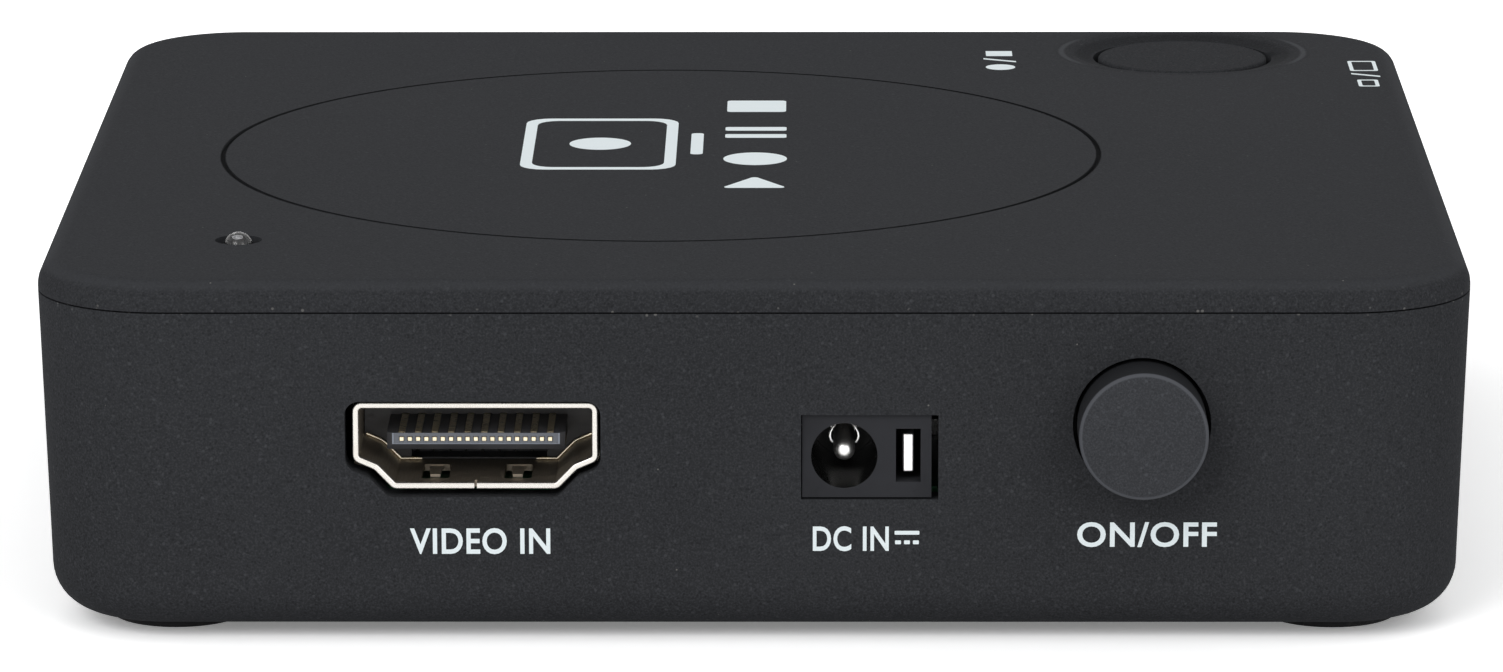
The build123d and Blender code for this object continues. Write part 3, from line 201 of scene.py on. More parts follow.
class Paint(Nodes):
    """One material and the nodes that make it."""

    def __init__(self, name: str) -> None:
        """Makes a material without nodes."""
        self.material = bpy.data.materials.new(name)
        self.material.use_nodes = True
        super().__init__(self.material.node_tree)
        self.coords: bpy.types.NodeSocket | None = None

    def place(self, scale: Point = (1.0, 1.0, 1.0)) -> bpy.types.NodeSocket:
        """The piece's own coordinates, stretched.

        Args:
            scale: stretch along each axis.

        Returns:
            A vector socket.
        """
        if self.coords is None:
            self.coords = self.node("ShaderNodeTexCoord").outputs["Object"]
        if scale == (1.0, 1.0, 1.0):
            return self.coords
        node = self.node("ShaderNodeMapping", None, {"Vector": self.coords, "Scale": scale})
        return node.outputs["Vector"]

    def noise(
        self, size: float, detail: float = 3.0, rough: float = 0.55, scale: Point = (1.0, 1.0, 1.0)
    ) -> Wire:
        """Cloudy noise whose features are about size metres wide."""
        node = self.node(
            "ShaderNodeTexNoise", None,
            {"Vector": self.place(scale), "Scale": 1.0 / size, "Detail": detail, "Roughness": rough},
        )
        return Wire(self, node.outputs["Fac"])

    def cells(self, size: float, feature: str = "F1", jitter: float = 1.0) -> Wire:
        """Distance in a field of cells size metres apart."""
        node = self.node(
            "ShaderNodeTexVoronoi", {"feature": feature},
            {"Vector": self.place(), "Scale": 1.0 / size, "Randomness": jitter},
        )
        return Wire(self, node.outputs["Distance"])

    def axis(self, letter: str) -> Wire:
        """One of the piece's own coordinates, in metres."""
        node = self.node("ShaderNodeSeparateXYZ", None, {"Vector": self.place()})
        return Wire(self, node.outputs[letter])

    def distance(self, first: str, x: float, second: str, y: float) -> Wire:
        """Distance from a line along the third axis.

        Args:
            first: letter of the first axis.
            x: the line's place on it.
            second: letter of the second axis.
            y: the line's place on it.

        Returns:
            The distance in metres.
        """
        across, along = self.axis(first) - x, self.axis(second) - y
        return (across * across + along * along).maths("SQRT")

    def blend(
        self, mask: "Wire | float", low: "Rgb | bpy.types.NodeSocket", high: "Rgb | bpy.types.NodeSocket"
    ) -> bpy.types.NodeSocket:
        """Mixes two colours.

        Args:
            mask: 0 for the low colour, 1 for the high one.
            low: first colour.
            high: second colour.

        Returns:
            The mixed colour's socket.
        """
        node = self.node("ShaderNodeMix", {"data_type": "RGBA"}, {0: mask, 6: low, 7: high})
        return node.outputs[2]

    def bump(self, height: Wire, depth: float, strength: float = 1.0) -> bpy.types.NodeSocket:
        """A bumped normal whose relief is depth metres."""
        node = self.node("ShaderNodeBump", None, {"Height": height, "Distance": depth, "Strength": strength})
        return node.outputs["Normal"]

    def finish(self, **values: object) -> bpy.types.Material:
        """Ends the material in one shader.

        Args:
            values: the shader's sockets, with _ for a space.

        Returns:
            The material.
        """
        shader = self.node(
            "ShaderNodeBsdfPrincipled", None, {key.replace("_", " "): value for key, value in values.items()}
        )
        self.node("ShaderNodeOutputMaterial", None, {"Surface": shader.outputs[0]})
        return self.material


# Finishes


@dataclass(frozen=True)
class SoftCoat:
    """Charcoal soft-touch plastic: fine grain, faint clouding, dust that gathers at the seam, and painted shade
    and highlights where asked.
    """

    name: str
    colour: Rgb = (0.0274, 0.0285, 0.0311)
    roughness: float = 0.84
    grain: float = 0.12 * MM
    grain_depth: float = 0.008 * MM
    specks: float = 0.6
    shine: float = 0.04
    seam_z: float = 0.0
    ring: Point = (0.0, 0.0, 0.0)
    rim: Point = (0.0, 0.0, 0.0)
    dish: Point = (0.0, 0.0, 0.0)
    shoulder_highlight_z: float = 0.0

    def material(self) -> bpy.types.Material:
        """Returns the finish as a material."""
        paint = Paint(self.name)
        cloud = paint.noise(26 * MM, 4.0)
        fine = paint.noise(self.grain, 2.0, 0.6)
        pores = paint.cells(self.grain * 2.6).ramp(0.15, 0.75)
        chosen = self.dust(paint)
        pale = tuple(c * 1.10 for c in self.colour)
        dark = tuple(c * 0.93 for c in self.colour)
        base = paint.blend(cloud.ramp(0.3, 0.7), dark, pale)
        base = paint.blend(fine.ramp(0.4, 0.75) * 0.5, base, tuple(c * 2.4 for c in self.colour))
        coarse = paint.noise(self.grain * 3.4, 2.0, 0.7)
        base = paint.blend(coarse.ramp(0.5, 0.72) * 0.1, base, tuple(c * 2.2 for c in self.colour))
        sparkle = paint.cells(0.5 * MM).ramp(0.26, 0.14) * paint.noise(0.8 * MM, 2.0).ramp(0.48, 0.6)
        base = paint.blend(sparkle * 0.55, base, tuple(c * 2.4 for c in self.colour))
        base = paint.blend(pores.ramp(0.2, 0.0) * 0.3, base, tuple(c * 0.35 for c in self.colour))
        # Painted highlight: a pale band where the top turns down to the rim.
        if self.shoulder_highlight_z > 0:
            base = paint.blend(self.shoulder_highlight(paint) * 0.5, base, tuple(c * 2.0 for c in self.colour))
        base = paint.blend(chosen, base, (0.20, 0.195, 0.185))
        # Painted shade: the pressed ring is drawn darker than the lid.
        if self.ring[2] > 0:
            base = paint.blend(self.groove_shade(paint) * 0.8, base, tuple(c * 0.25 for c in self.colour))
        rough = cloud.ramp(0.25, 0.75, self.roughness - 0.04, self.roughness + 0.05) + fine * 0.06
        # Painted shade on the dish's slope and painted highlights on its edge.
        if self.dish[2] > 0:
            base = self.dish_shade_and_highlights(paint, base)
        # Painted highlight on a button's rounded rim, and painted shade on its side, which faces away from the
        # light.
        if self.rim[2] > 0:
            x, z, radius = self.rim
            reach = paint.distance("X", x, "Z", z)
            rim_highlight = reach.ramp(radius - 0.26 * MM, radius - 0.14 * MM)
            base = paint.blend(rim_highlight, base, tuple(c * 2.6 for c in self.colour))
            rim_side_shade = reach.ramp(radius - 0.04 * MM, radius)
            base = paint.blend(rim_side_shade * 0.9, base, tuple(c * 0.3 for c in self.colour))
        height = fine * 0.7 + pores * 0.5 + chosen * 1.6
        return paint.finish(
            Base_Color=base, Roughness=rough, Specular_IOR_Level=self.shine, IOR=1.4,
            Normal=paint.bump(height, self.grain_depth),
        )

    def dust(self, paint: Paint) -> Wire:
        """Sparse flecks over the face and a denser line of them at the seam."""
        flecks = paint.cells(1.45 * MM).ramp(0.05, 0.03)
        sparse = paint.noise(2.3 * MM, 1.0).ramp(0.58, 0.68) * flecks * self.specks
        if self.seam_z <= 0:
            return sparse
        near = (paint.axis("Z") - self.seam_z).maths("ABSOLUTE").ramp(0.35 * MM, 0.05 * MM)
        grit = paint.cells(0.5 * MM).ramp(0.24, 0.12) * paint.noise(1.1 * MM, 2.0).ramp(0.5, 0.6)
        return sparse.maths("MAXIMUM", near * grit * self.specks)

    def shoulder_highlight(self, paint: Paint) -> Wire:
        """Up to 1 where the top turns down to the rim, for a painted highlight there, 0 inside the dish."""
        x, y, radius = self.dish
        band = (paint.axis("Z") - self.shoulder_highlight_z).maths("ABSOLUTE").ramp(0.45 * MM, 0.05 * MM)
        return band * paint.distance("X", x, "Y", y).ramp(radius + 0.1 * MM, radius + 0.6 * MM)

    def groove_shade(self, paint: Paint) -> Wire:
        """Painted shade: 1 in the pressed ring round the lid's middle, 0 elsewhere, with soft edges."""
        x, y, radius = self.ring
        distance = paint.distance("X", x, "Y", y) - radius
        return distance.maths("ABSOLUTE").ramp(0.24 * MM, 0.12 * MM)

    def dish_shade_and_highlights(self, paint: Paint, base: bpy.types.NodeSocket) -> bpy.types.NodeSocket:
        """Paints shade on the dish's slope round the record button, and highlights on its outer edge at the left
        and right.

        Args:
            paint: the material.
            base: the colour so far.

        Returns:
            The colour's socket.
        """
        x, y, radius = self.dish
        reach = paint.distance("X", x, "Y", y)
        outer = reach.ramp(radius - 0.7 * MM, radius - 1.2 * MM)
        slope = outer * reach.ramp(radius - 2.3 * MM, radius - 1.9 * MM)
        base = paint.blend(slope * 0.4, base, tuple(c * 0.45 for c in self.colour))
        edge = (reach - radius).maths("ABSOLUTE").ramp(0.3 * MM, 0.08 * MM)
        side = (paint.axis("X") - x).maths("ABSOLUTE").ramp(6.2 * MM, 8.0 * MM)
        return paint.blend(edge * side * 0.5, base, tuple(c * 3.4 for c in self.colour))


@dataclass(frozen=True)
class Moulded:
    """Plain moulded plastic: flow clouding, a fine skin and small scuffs, with a painted highlight on a tongue's
    nose and painted shade in a bore where asked.
    """

    name: str
    colour: Rgb
    roughness: float = 0.42
    skin: float = 0.16 * MM
    depth: float = 0.004 * MM
    shine: float = 0.5
    nose_y: float = 0.0
    bore: Point = (0.0, 0.0, 0.0)

    def material(self) -> bpy.types.Material:
        """Returns the finish as a material."""
        paint = Paint(self.name)
        flow = paint.noise(5 * MM, 4.0, 0.6)
        skin = paint.noise(self.skin, 3.0, 0.65)
        scuff = paint.noise(0.5 * MM, 2.0, 0.5, (1.0, 0.2, 1.0)).ramp(0.62, 0.74)
        low = tuple(c * 0.84 for c in self.colour)
        high = tuple(min(1.0, c * 1.2 + 0.002) for c in self.colour)
        base = paint.blend(flow.ramp(0.3, 0.7), low, high)
        # Painted highlight: a pale blue-grey band along the tongue's nose.
        if self.nose_y:
            nose_highlight = (paint.axis("Y") - self.nose_y).maths("ABSOLUTE").ramp(0.06 * MM, 0.03 * MM)
            base = paint.blend(nose_highlight * 0.9, base, (0.36, 0.40, 0.47))
        rough = flow.ramp(0.2, 0.8, self.roughness - 0.06, self.roughness + 0.06) + scuff * 0.12
        # Painted shade: the bore's wall is drawn near black, and glossier.
        if self.bore[2] > 0:
            x, z, radius = self.bore
            inside = paint.distance("X", x, "Z", z).ramp(radius + 0.03 * MM, radius)
            base = paint.blend(inside, base, (0.006, 0.006, 0.006))
            rough = rough - inside * (self.roughness - 0.16)
        return paint.finish(
            Base_Color=base, Roughness=rough, Specular_IOR_Level=self.shine,
            Normal=paint.bump(skin * 0.8 + scuff * 0.3, self.depth),
        )


@dataclass(frozen=True)
class Plate:
    """Plated or bare metal: rolling marks along one axis, faint tarnish and small pits, with painted shade behind
    a shell's mouth where asked.
    """

    name: str
    colour: Rgb
    roughness: float = 0.22
    marks: Point = (1.0, 0.06, 1.0)
    tarnish: Rgb = (0.42, 0.36, 0.28)
    tarnish_share: float = 0.18
    depth: float = 0.0012 * MM
    mouth_y: float = 0.0

    def material(self) -> bpy.types.Material:
        """Returns the finish as a material."""
        paint = Paint(self.name)
        rolled = paint.noise(0.06 * MM, 3.0, 0.6, self.marks)
        cloud = paint.noise(2.2 * MM, 4.0, 0.6)
        pits = paint.cells(0.5 * MM).ramp(0.1, 0.05) * cloud.ramp(0.5, 0.6)
        stain = cloud.ramp(0.5, 0.78) * self.tarnish_share
        base = paint.blend(stain, self.colour, self.tarnish)
        base = paint.blend(rolled.ramp(0.3, 0.7) * 0.16, base, tuple(c * 0.72 for c in self.colour))
        rough = rolled.ramp(0.25, 0.75, self.roughness * 0.75, self.roughness * 1.3) + stain * 0.5
        # Painted shade: from just behind the mouth the plate is drawn darker, towards half the tarnish colour, and
        # rougher.
        if self.mouth_y:
            inside = (paint.axis("Y") - self.mouth_y).maths("ABSOLUTE").ramp(0.15 * MM, 0.5 * MM)
            base = paint.blend(inside * 0.8, base, tuple(c * 0.5 for c in self.tarnish))
            rough = rough + inside * 0.16
        return paint.finish(
            Base_Color=base, Roughness=rough, Metallic=1.0,
            Normal=paint.bump(rolled - pits, self.depth),
        )


@dataclass(frozen=True)
class Rubber:
    """Matt black rubber with a fine pebble and pale dust in its pores."""

    name: str
    colour: Rgb = (0.012, 0.012, 0.013)

    def material(self) -> bpy.types.Material:
        """Returns the finish as a material."""
        paint = Paint(self.name)
        pebble = paint.cells(0.22 * MM).ramp(0.1, 0.7)
        cloud = paint.noise(3 * MM, 4.0)
        base = paint.blend(cloud.ramp(0.35, 0.75), self.colour, tuple(c * 2.1 for c in self.colour))
        base = paint.blend((1 - pebble) * cloud.ramp(0.5, 0.7) * 0.3, base, (0.12, 0.115, 0.11))
        return paint.finish(
            Base_Color=base, Roughness=cloud.ramp(0.3, 0.7, 0.72, 0.86), Specular_IOR_Level=0.3,
            Normal=paint.bump(pebble, 0.012 * MM),
        )


@dataclass(frozen=True)
class Laminate:
    """Circuit board: green mask over copper tracks, with tinned pads."""

    name: str
    mask: Rgb = (0.010, 0.070, 0.030)
    track: Rgb = (0.020, 0.125, 0.052)
    pad: Rgb = (0.62, 0.60, 0.55)

    def material(self) -> bpy.types.Material:
        """Returns the finish as a material."""
        paint = Paint(self.name)
        routes = paint.node(
            "ShaderNodeTexBrick", {"offset": 0.37, "squash": 1.8, "squash_frequency": 3},
            {"Vector": paint.place(), "Scale": 1.0 / (2.6 * MM), "Mortar Size": 0.03, "Brick Width": 2.3,
             "Row Height": 0.19, "Mortar Smooth": 0.2,
             "Color1": (0.0, 0.0, 0.0), "Color2": (0.0, 0.0, 0.0), "Mortar": (1.0, 1.0, 1.0)},
        ).outputs["Fac"]
        tracks = Wire(paint, routes) * paint.noise(6 * MM, 1.0).ramp(0.5, 0.53)
        vias = paint.cells(2.4 * MM).ramp(0.13, 0.11) * paint.noise(7 * MM, 1.0).ramp(0.5, 0.55)
        weave = paint.noise(0.3 * MM, 2.0)
        base = paint.blend(tracks, self.mask, self.track)
        base = paint.blend(vias, base, self.pad)
        base = paint.blend(weave * 0.2, base, tuple(c * 0.6 for c in self.mask))
        return paint.finish(
            Base_Color=base, Roughness=0.36 - tracks * 0.06 - vias * 0.05, Metallic=vias * 0.9,
            Normal=paint.bump(tracks + weave * 0.2 - vias * 0.6, 0.03 * MM),
        )


@dataclass(frozen=True)
class Lens:
    """Clear moulded lens with faint flow marks."""

    name: str

    def material(self) -> bpy.types.Material:
        """Returns the finish as a material."""
        paint = Paint(self.name)
        milk = paint.noise(0.7 * MM, 3.0)
        base = paint.blend(milk.ramp(0.3, 0.7), (0.88, 0.90, 0.92), (0.97, 0.98, 0.99))
        return paint.finish(
            Base_Color=base, Roughness=milk.ramp(0.3, 0.7, 0.08, 0.16), Transmission_Weight=1.0, IOR=1.5,
            Normal=paint.bump(milk, 0.0006 * MM),
        )


@dataclass(frozen=True)
class Ink:
    """Screen-printed ink: nearly flat, with pinholes and soft edges in its tone."""

    name: str
    colour: Rgb = (0.83, 0.91, 0.935)

    def material(self) -> bpy.types.Material:
        """Returns the finish as a material."""
        paint = Paint(self.name)
        pin = paint.noise(0.09 * MM, 2.0, 0.6)
        base = paint.blend(pin.ramp(0.6, 0.8) * 0.35, self.colour, tuple(c * 0.7 for c in self.colour))
        return paint.finish(
            Base_Color=base, Roughness=pin.ramp(0.3, 0.7, 0.5, 0.62), Specular_IOR_Level=0.3,
            Normal=paint.bump(pin, 0.003 * MM),
        )


@dataclass(frozen=True)
class Ceramic:
    """Chip parts: brown ceramic whose two ends are tinned."""

    name: str
    middle_y: float
    pitch: float
    half: float
    end: float

    def material(self) -> bpy.types.Material:
        """Returns the finish as a material."""
        paint = Paint(self.name)
        row = ((paint.axis("Y") - self.middle_y) / self.pitch + 0.5).maths("FRACT") - 0.5
        from_middle = row.maths("ABSOLUTE") * self.pitch
        tin = from_middle.ramp(self.half - self.end - 0.03 * MM, self.half - self.end + 0.03 * MM)
        grit = paint.noise(0.12 * MM, 3.0)
        body = paint.blend(grit, (0.20, 0.135, 0.085), (0.33, 0.235, 0.16))
        return paint.finish(
            Base_Color=paint.blend(tin, body, (0.66, 0.65, 0.62)), Roughness=0.55 - tin * 0.25, Metallic=tin,
            Normal=paint.bump(grit, 0.01 * MM),
        )


# Meshes


def mesh_object(
    name: str, vertices: Iterable[Sequence[float]], faces: Iterable[Sequence[int]]
) -> bpy.types.Object:
    """Makes a linked mesh object from points and faces.

    Args:
        name: the object's name.
        vertices: points in metres, in the shared frame.
        faces: point numbers of each face.

    Returns:
        The object, with its faces pointing outwards.
    """
    mesh = bpy.data.meshes.new(name)
    mesh.from_pydata([tuple(v) for v in vertices], [], [tuple(f) for f in faces])
    obj = bpy.data.objects.new(name, mesh)
    bpy.context.scene.collection.objects.link(obj)
    work = bmesh.new()
    work.from_mesh(mesh)
    bmesh.ops.remove_doubles(work, verts=work.verts, dist=1e-7)
    bmesh.ops.recalc_face_normals(work, faces=work.faces)
    work.to_mesh(mesh)
    work.free()
    return obj


def loft(name: str, loops: Sequence[Loop], closed: bool = False) -> bpy.types.Object:
    """Joins loops of equal length into one closed body.

    Args:
        name: the object's name.
        loops: closed loops of points, in order.
        closed: joins the last loop to the first instead of capping both.

    Returns:
        The object.
    """
    count = len(loops[0])
    points = [p for loop in loops for p in loop]
    faces: list[Sequence[int]] = []
    last = len(loops) if closed else len(loops) - 1
    for row in range(last):
        a, b = row * count, ((row + 1) % len(loops)) * count
        faces += [(a + i, a + (i + 1) % count, b + (i + 1) % count, b + i) for i in range(count)]
    if not closed:
        faces += [tuple(range(count)), tuple(range((len(loops) - 1) * count, len(loops) * count))]
    return mesh_object(name, points, faces)


def turned(name: str, profile: Sequence[Flat], place: Matrix, steps: int) -> bpy.types.Object:
    """Turns a profile about Z and places the body.

    Args:
        name: the object's name.
        profile: radius and height of each point, from one end of the axis to the other.
        place: where the body goes.
        steps: how many sides it has.

    Returns:
        The object.
    """
    angles = [2 * math.pi * i / steps for i in range(steps)]
    points: list[Vector] = []
    starts: list[tuple[int, bool]] = []
    for radius, height in profile:
        pole = radius < 2 * POLE
        starts.append((len(points), pole))
        here = [(0.0, 0.0)] if pole else [(radius * math.cos(a), radius * math.sin(a)) for a in angles]
        points += [place @ Vector((x, y, height)) for x, y in here]
    faces: list[Sequence[int]] = []
    for (a, pole_a), (b, pole_b) in zip(starts, starts[1:]):
        for i in range(steps):
            j = (i + 1) % steps
            if pole_a and not pole_b:
                faces.append((a, b + i, b + j))
            elif pole_b and not pole_a:
                faces.append((a + i, a + j, b))
            elif not pole_a:
                faces.append((a + i, a + j, b + j, b + i))
    return mesh_object(name, points, faces)


def box_body(name: str, low: Point, high: Point, edge: float = 0.0) -> bpy.types.Object:
    """A box between two corners, with its edges rounded.

    Args:
        name: the object's name.
        low: the lower corner.
        high: the upper corner.
        edge: the edges' radius; 0 leaves them sharp.

    Returns:
        The object.
    """
    (x0, y0, z0), (x1, y1, z1) = low, high
    obj = loft(name, [[(x0, y0, z), (x1, y0, z), (x1, y1, z), (x0, y1, z)] for z in (z0, z1)])
    if edge > 0:
        work = bmesh.new()
        work.from_mesh(obj.data)
        bmesh.ops.bevel(
            work, geom=work.edges[:], offset=edge, segments=2, profile=0.5, affect="EDGES", clamp_overlap=True
        )
        work.to_mesh(obj.data)
        work.free()
    return obj


def tube(name: str, path: Sequence[Point], radius: float, steps: int = 8) -> bpy.types.Object:
    """A round wire along a path.

    Args:
        name: the object's name.
        path: the wire's middle line.
        radius: its radius.
        steps: how many sides it has.

    Returns:
        The object.
    """
    line = [Vector(p) for p in path]
    loops = []
    for i, here in enumerate(line):
        way = (line[min(i + 1, len(line) - 1)] - line[max(i - 1, 0)]).normalized()
        side = way.cross(Vector((0.0, 1.0, 0.0))).normalized()
        rise = side.cross(way)
        loops.append([
            tuple(here + (side * math.cos(a) + rise * math.sin(a)) * radius)
            for a in (2 * math.pi * step / steps for step in range(steps))
        ])
    return loft(name, loops)


def slab(name: str, outline: Sequence[Flat], start: float, end: float) -> bpy.types.Object:
    """A flat body with an outline in Y and Z, from one X to another."""
    return loft(name, [[(x, y, z) for y, z in outline] for x in (start, end)])


def leg(name: str, low: Flat, high: Flat, bottom: float, top: float) -> bpy.types.Object:
    """A flat board leg with a tapered tip.

    Args:
        name: the object's name.
        low: lower corner in X and Y.
        high: upper corner in X and Y.
        bottom: height of its tip.
        top: height of its root.

    Returns:
        The object.
    """
    levels = ((bottom, 0.3), (bottom + 0.25 * MM, 0.12), (bottom + 0.6 * MM, 0.0), (top, 0.0))
    loops = []
    for z, share in levels:
        y0, y1 = low[1] + (high[1] - low[1]) * share, high[1] - (high[1] - low[1]) * share
        loops.append([(low[0], y0, z), (high[0], y0, z), (high[0], y1, z), (low[0], y1, z)])
    return loft(name, loops)


def pan_screw(
    name: str, radius: float, length: float, head_radius: float, head_height: float, up: bool
) -> bpy.types.Object:
    """A pan-head screw with a cross recess, seated at the origin.

    Args:
        name: the object's name.
        radius: the thread's outer radius.
        length: the shank's length.
        head_radius: the head's radius.
        head_height: the head's height.
        up: whether the shank points up.

    Returns:
        The object.
    """
    sign = -1.0 if up else 1.0
    rh, hh = head_radius, head_height
    profile = [(0.0, hh), (rh * 0.55, hh * 0.97)]
    for a in np.linspace(0.3, 1.57, 5):
        profile.append((rh * (0.55 + 0.45 * math.sin(a)), hh * (0.42 + 0.55 * math.cos(a))))
    profile += [(rh, hh * 0.12), (rh * 0.95, 0.0), (radius * 0.9, 0.0)]
    pitch, core = radius * 0.62, radius * 0.76
    turns = int((length - radius * 1.2) / pitch)
    for i in range(turns):
        z = -i * pitch
        profile += [(core, z - pitch * 0.25), (core, z - pitch * 0.45), (radius, z - pitch * 0.75)]
    profile += [(core, -length + radius * 0.9), (radius * 0.25, -length + 0.05 * MM), (0.0, -length)]
    place = Matrix.Diagonal((1.0, 1.0, sign, 1.0))
    screw = turned(name, profile, place, 28)
    arm, deep = rh * 0.52, hh * 0.5
    tools = []
    for x, y in ((arm, rh * 0.13), (rh * 0.13, arm)):
        loops = []
        for share, height in ((0.55, hh - deep), (1.0, hh), (1.0, hh + 0.5 * MM)):
            px, py = x * (share if x > y else 1.0), y * (share if y > x else 1.0)
            z = sign * height
            loops.append([(-px, -py, z), (px, -py, z), (px, py, z), (-px, py, z)])
        tools.append(loft("cross", loops))
    return cut(screw, tools)


def along_y(x: float, y: float, z: float) -> Matrix:
    """Stands a turned piece at a point with its axis along the shared frame's Y."""
    return Matrix.Translation((x, y, z)) @ Matrix.Rotation(math.radians(-90), 4, "X")


def ring(radius: float, steps: int, place: Callable[[float, float], Point]) -> Loop:
    """A circle of points, each placed by a function of its two coordinates."""
    turn = 2 * math.pi / steps
    return [place(radius * math.cos(i * turn), radius * math.sin(i * turn)) for i in range(steps)]


def arc(centre: Flat, radius: float, start: float, end: float, steps: int) -> list[Flat]:
    """Points of an arc, in degrees.

    Args:
        centre: the arc's centre.
        radius: its radius.
        start: first angle.
        end: last angle.
        steps: how many chords.

    Returns:
        The points, both ends included.
    """
    angles = [math.radians(start + (end - start) * i / steps) for i in range(steps + 1)]
    return [(centre[0] + radius * math.cos(a), centre[1] + radius * math.sin(a)) for a in angles]


def rounded(corners: Sequence[Flat], radii: Sequence[float], steps: int = 6) -> list[Flat]:
    """Rounds the corners of a polygon.

    Args:
        corners: the polygon's corners, anticlockwise.
        radii: a radius for each corner.
        steps: chords in each rounded corner.

    Returns:
        The outline's points.
    """
    outline = []
    for i, here in enumerate(corners):
        p = Vector(here)
        a = (Vector(corners[i - 1]) - p).normalized()
        b = (Vector(corners[(i + 1) % len(corners)]) - p).normalized()
        half = a.angle(b) / 2
        reach = radii[i] / math.tan(half)
        middle = p + (a + b).normalized() * (radii[i] / math.sin(half))
        first, last = p + a * reach - middle, p + b * reach - middle
        sweep = first.angle_signed(last)
        for step in range(steps + 1):
            turn = -sweep * step / steps
            c, s = math.cos(turn), math.sin(turn)
            outline.append((middle.x + first.x * c - first.y * s, middle.y + first.x * s + first.y * c))
    return outline


def evaluated(obj: bpy.types.Object) -> bpy.types.Object:
    """Turns an object's modifiers into its mesh.

    Args:
        obj: the object, with modifiers.

    Returns:
        The same object with a plain mesh and no modifiers.
    """
    graph = bpy.context.evaluated_depsgraph_get()
    graph.update()
    made = bpy.data.meshes.new_from_object(obj.evaluated_get(graph))
    obj.modifiers.clear()
    obj.data = made
    return obj


def removed(objects: Iterable[bpy.types.Object]) -> None:
    """Deletes helper objects."""
    for obj in objects:
        bpy.data.objects.remove(obj)


def cut(
    target: bpy.types.Object, tools: Sequence[bpy.types.Object], operation: str = "DIFFERENCE"
) -> bpy.types.Object:
    """Cuts or adds helper bodies, which are then deleted.

    Args:
        target: the body that changes.
        tools: the helper bodies.
        operation: DIFFERENCE or UNION.

    Returns:
        The target.
    """
    for tool in tools:
        step = target.modifiers.new("cut", "BOOLEAN")
        step.operation, step.solver, step.object = operation, "EXACT", tool
    evaluated(target)
    removed(tools)
    return target


def soften(obj: bpy.types.Object, width: float, segments: int = 2, angle: float = 35.0) -> bpy.types.Object:
    """Rounds sharp edges and evens the normals.

    Args:
        obj: the object.
        width: the rounding, in metres; 0 leaves the edges sharp.
        segments: chords in each rounding.
        angle: the smallest edge angle that counts as sharp, in degrees.

    Returns:
        The object with a plain mesh.
    """
    if width > 0:
        bevel = obj.modifiers.new("edges", "BEVEL")
        bevel.width, bevel.segments, bevel.limit_method = width, segments, "ANGLE"
        bevel.angle_limit = math.radians(angle)
        bevel.use_clamp_overlap, bevel.miter_outer = True, "MITER_SHARP"
        evaluated(obj)
    obj.data.shade_smooth()
    obj.data.set_sharp_from_angle(angle=math.radians(angle))
    even = obj.modifiers.new("normals", "WEIGHTED_NORMAL")
    even.keep_sharp, even.weight = True, 80
    return evaluated(obj)


def merged_copy(node: str, name: str) -> bpy.types.Object:
    """A copy of a CAD node with its triangles joined and its flat faces whole.

    Args:
        node: the CAD node.
        name: the copy's name.

    Returns:
        The copy, placed as the node is.
    """
    mesh = NODES[node].data.copy()
    mesh.materials.clear()
    obj = bpy.data.objects.new(name, mesh)
    bpy.context.scene.collection.objects.link(obj)
    work = bmesh.new()
    work.from_mesh(mesh)
    bmesh.ops.remove_doubles(work, verts=work.verts, dist=2e-6)
    bmesh.ops.dissolve_degenerate(work, edges=work.edges, dist=1e-6)
    bmesh.ops.dissolve_limit(
        work, angle_limit=math.radians(0.6), verts=work.verts, edges=work.edges, delimit=set()
    )
    work.to_mesh(mesh)
    work.free()
    return obj


def join(name: str, objects: Sequence[bpy.types.Object]) -> bpy.types.Object:
    """Puts several meshes into one object.

    Args:
        name: the new object's name.
        objects: the objects, deleted afterwards.

    Returns:
        The object that holds them all.
    """
    work = bmesh.new()
    for obj in objects:
        work.from_mesh(obj.data)
    mesh = bpy.data.meshes.new(name)
    work.to_mesh(mesh)
    work.free()
    joined = bpy.data.objects.new(name, mesh)
    bpy.context.scene.collection.objects.link(joined)
    removed(objects)
    return joined


def moved(obj: bpy.types.Object, matrix: Matrix) -> bpy.types.Object:
    """Moves an object's mesh, not the object."""
    obj.data.transform(matrix)
    return obj


# Rows and coils in Geometry Nodes


class Pattern(Nodes):
    """A Geometry Nodes tree with named inputs, run once and turned into a plain mesh."""

    def __init__(self, name: str) -> None:
        """Makes an empty tree with a geometry output."""
        super().__init__(bpy.data.node_groups.new(name, "GeometryNodeTree"))
        self.tree.interface.new_socket("Geometry", in_out="OUTPUT", socket_type="NodeSocketGeometry")
        self.given: dict[str, object] = {}
        self.inlet = self.node("NodeGroupInput")
        self.outlet = self.node("NodeGroupOutput")

    def ask(self, name: str, kind: str, value: object) -> bpy.types.NodeSocket:
        """Adds a named input.

        Args:
            name: what the input is called.
            kind: its socket type.
            value: what it is given when the tree runs.

        Returns:
            The socket inside the tree.
        """
        item = self.tree.interface.new_socket(name, in_out="INPUT", socket_type=kind)
        self.given[item.identifier] = value
        return self.inlet.outputs[name]

    def run(
        self, name: str, geometry: bpy.types.NodeSocket, material: bpy.types.Material
    ) -> bpy.types.Object:
        """Ends the tree in Realize Instances and Set Material and runs it.

        Args:
            name: the new object's name.
            geometry: what the tree has made.
            material: the finish of the result.

        Returns:
            An object with a plain mesh.
        """
        real = self.node("GeometryNodeRealizeInstances", None, {"Geometry": geometry})
        finish = self.ask("Finish", "NodeSocketMaterial", material)
        dressed = self.node(
            "GeometryNodeSetMaterial", None, {"Geometry": real.outputs[0], "Material": finish}
        )
        self.tree.links.new(dressed.outputs[0], self.outlet.inputs[0])
        obj = bpy.data.objects.new(name, bpy.data.meshes.new(name))
        bpy.context.scene.collection.objects.link(obj)
        step = obj.modifiers.new("pattern", "NODES")
        step.node_group = self.tree
        for key, value in self.given.items():
            step[key] = value
        evaluated(obj)
        obj.data.name = name
        return obj


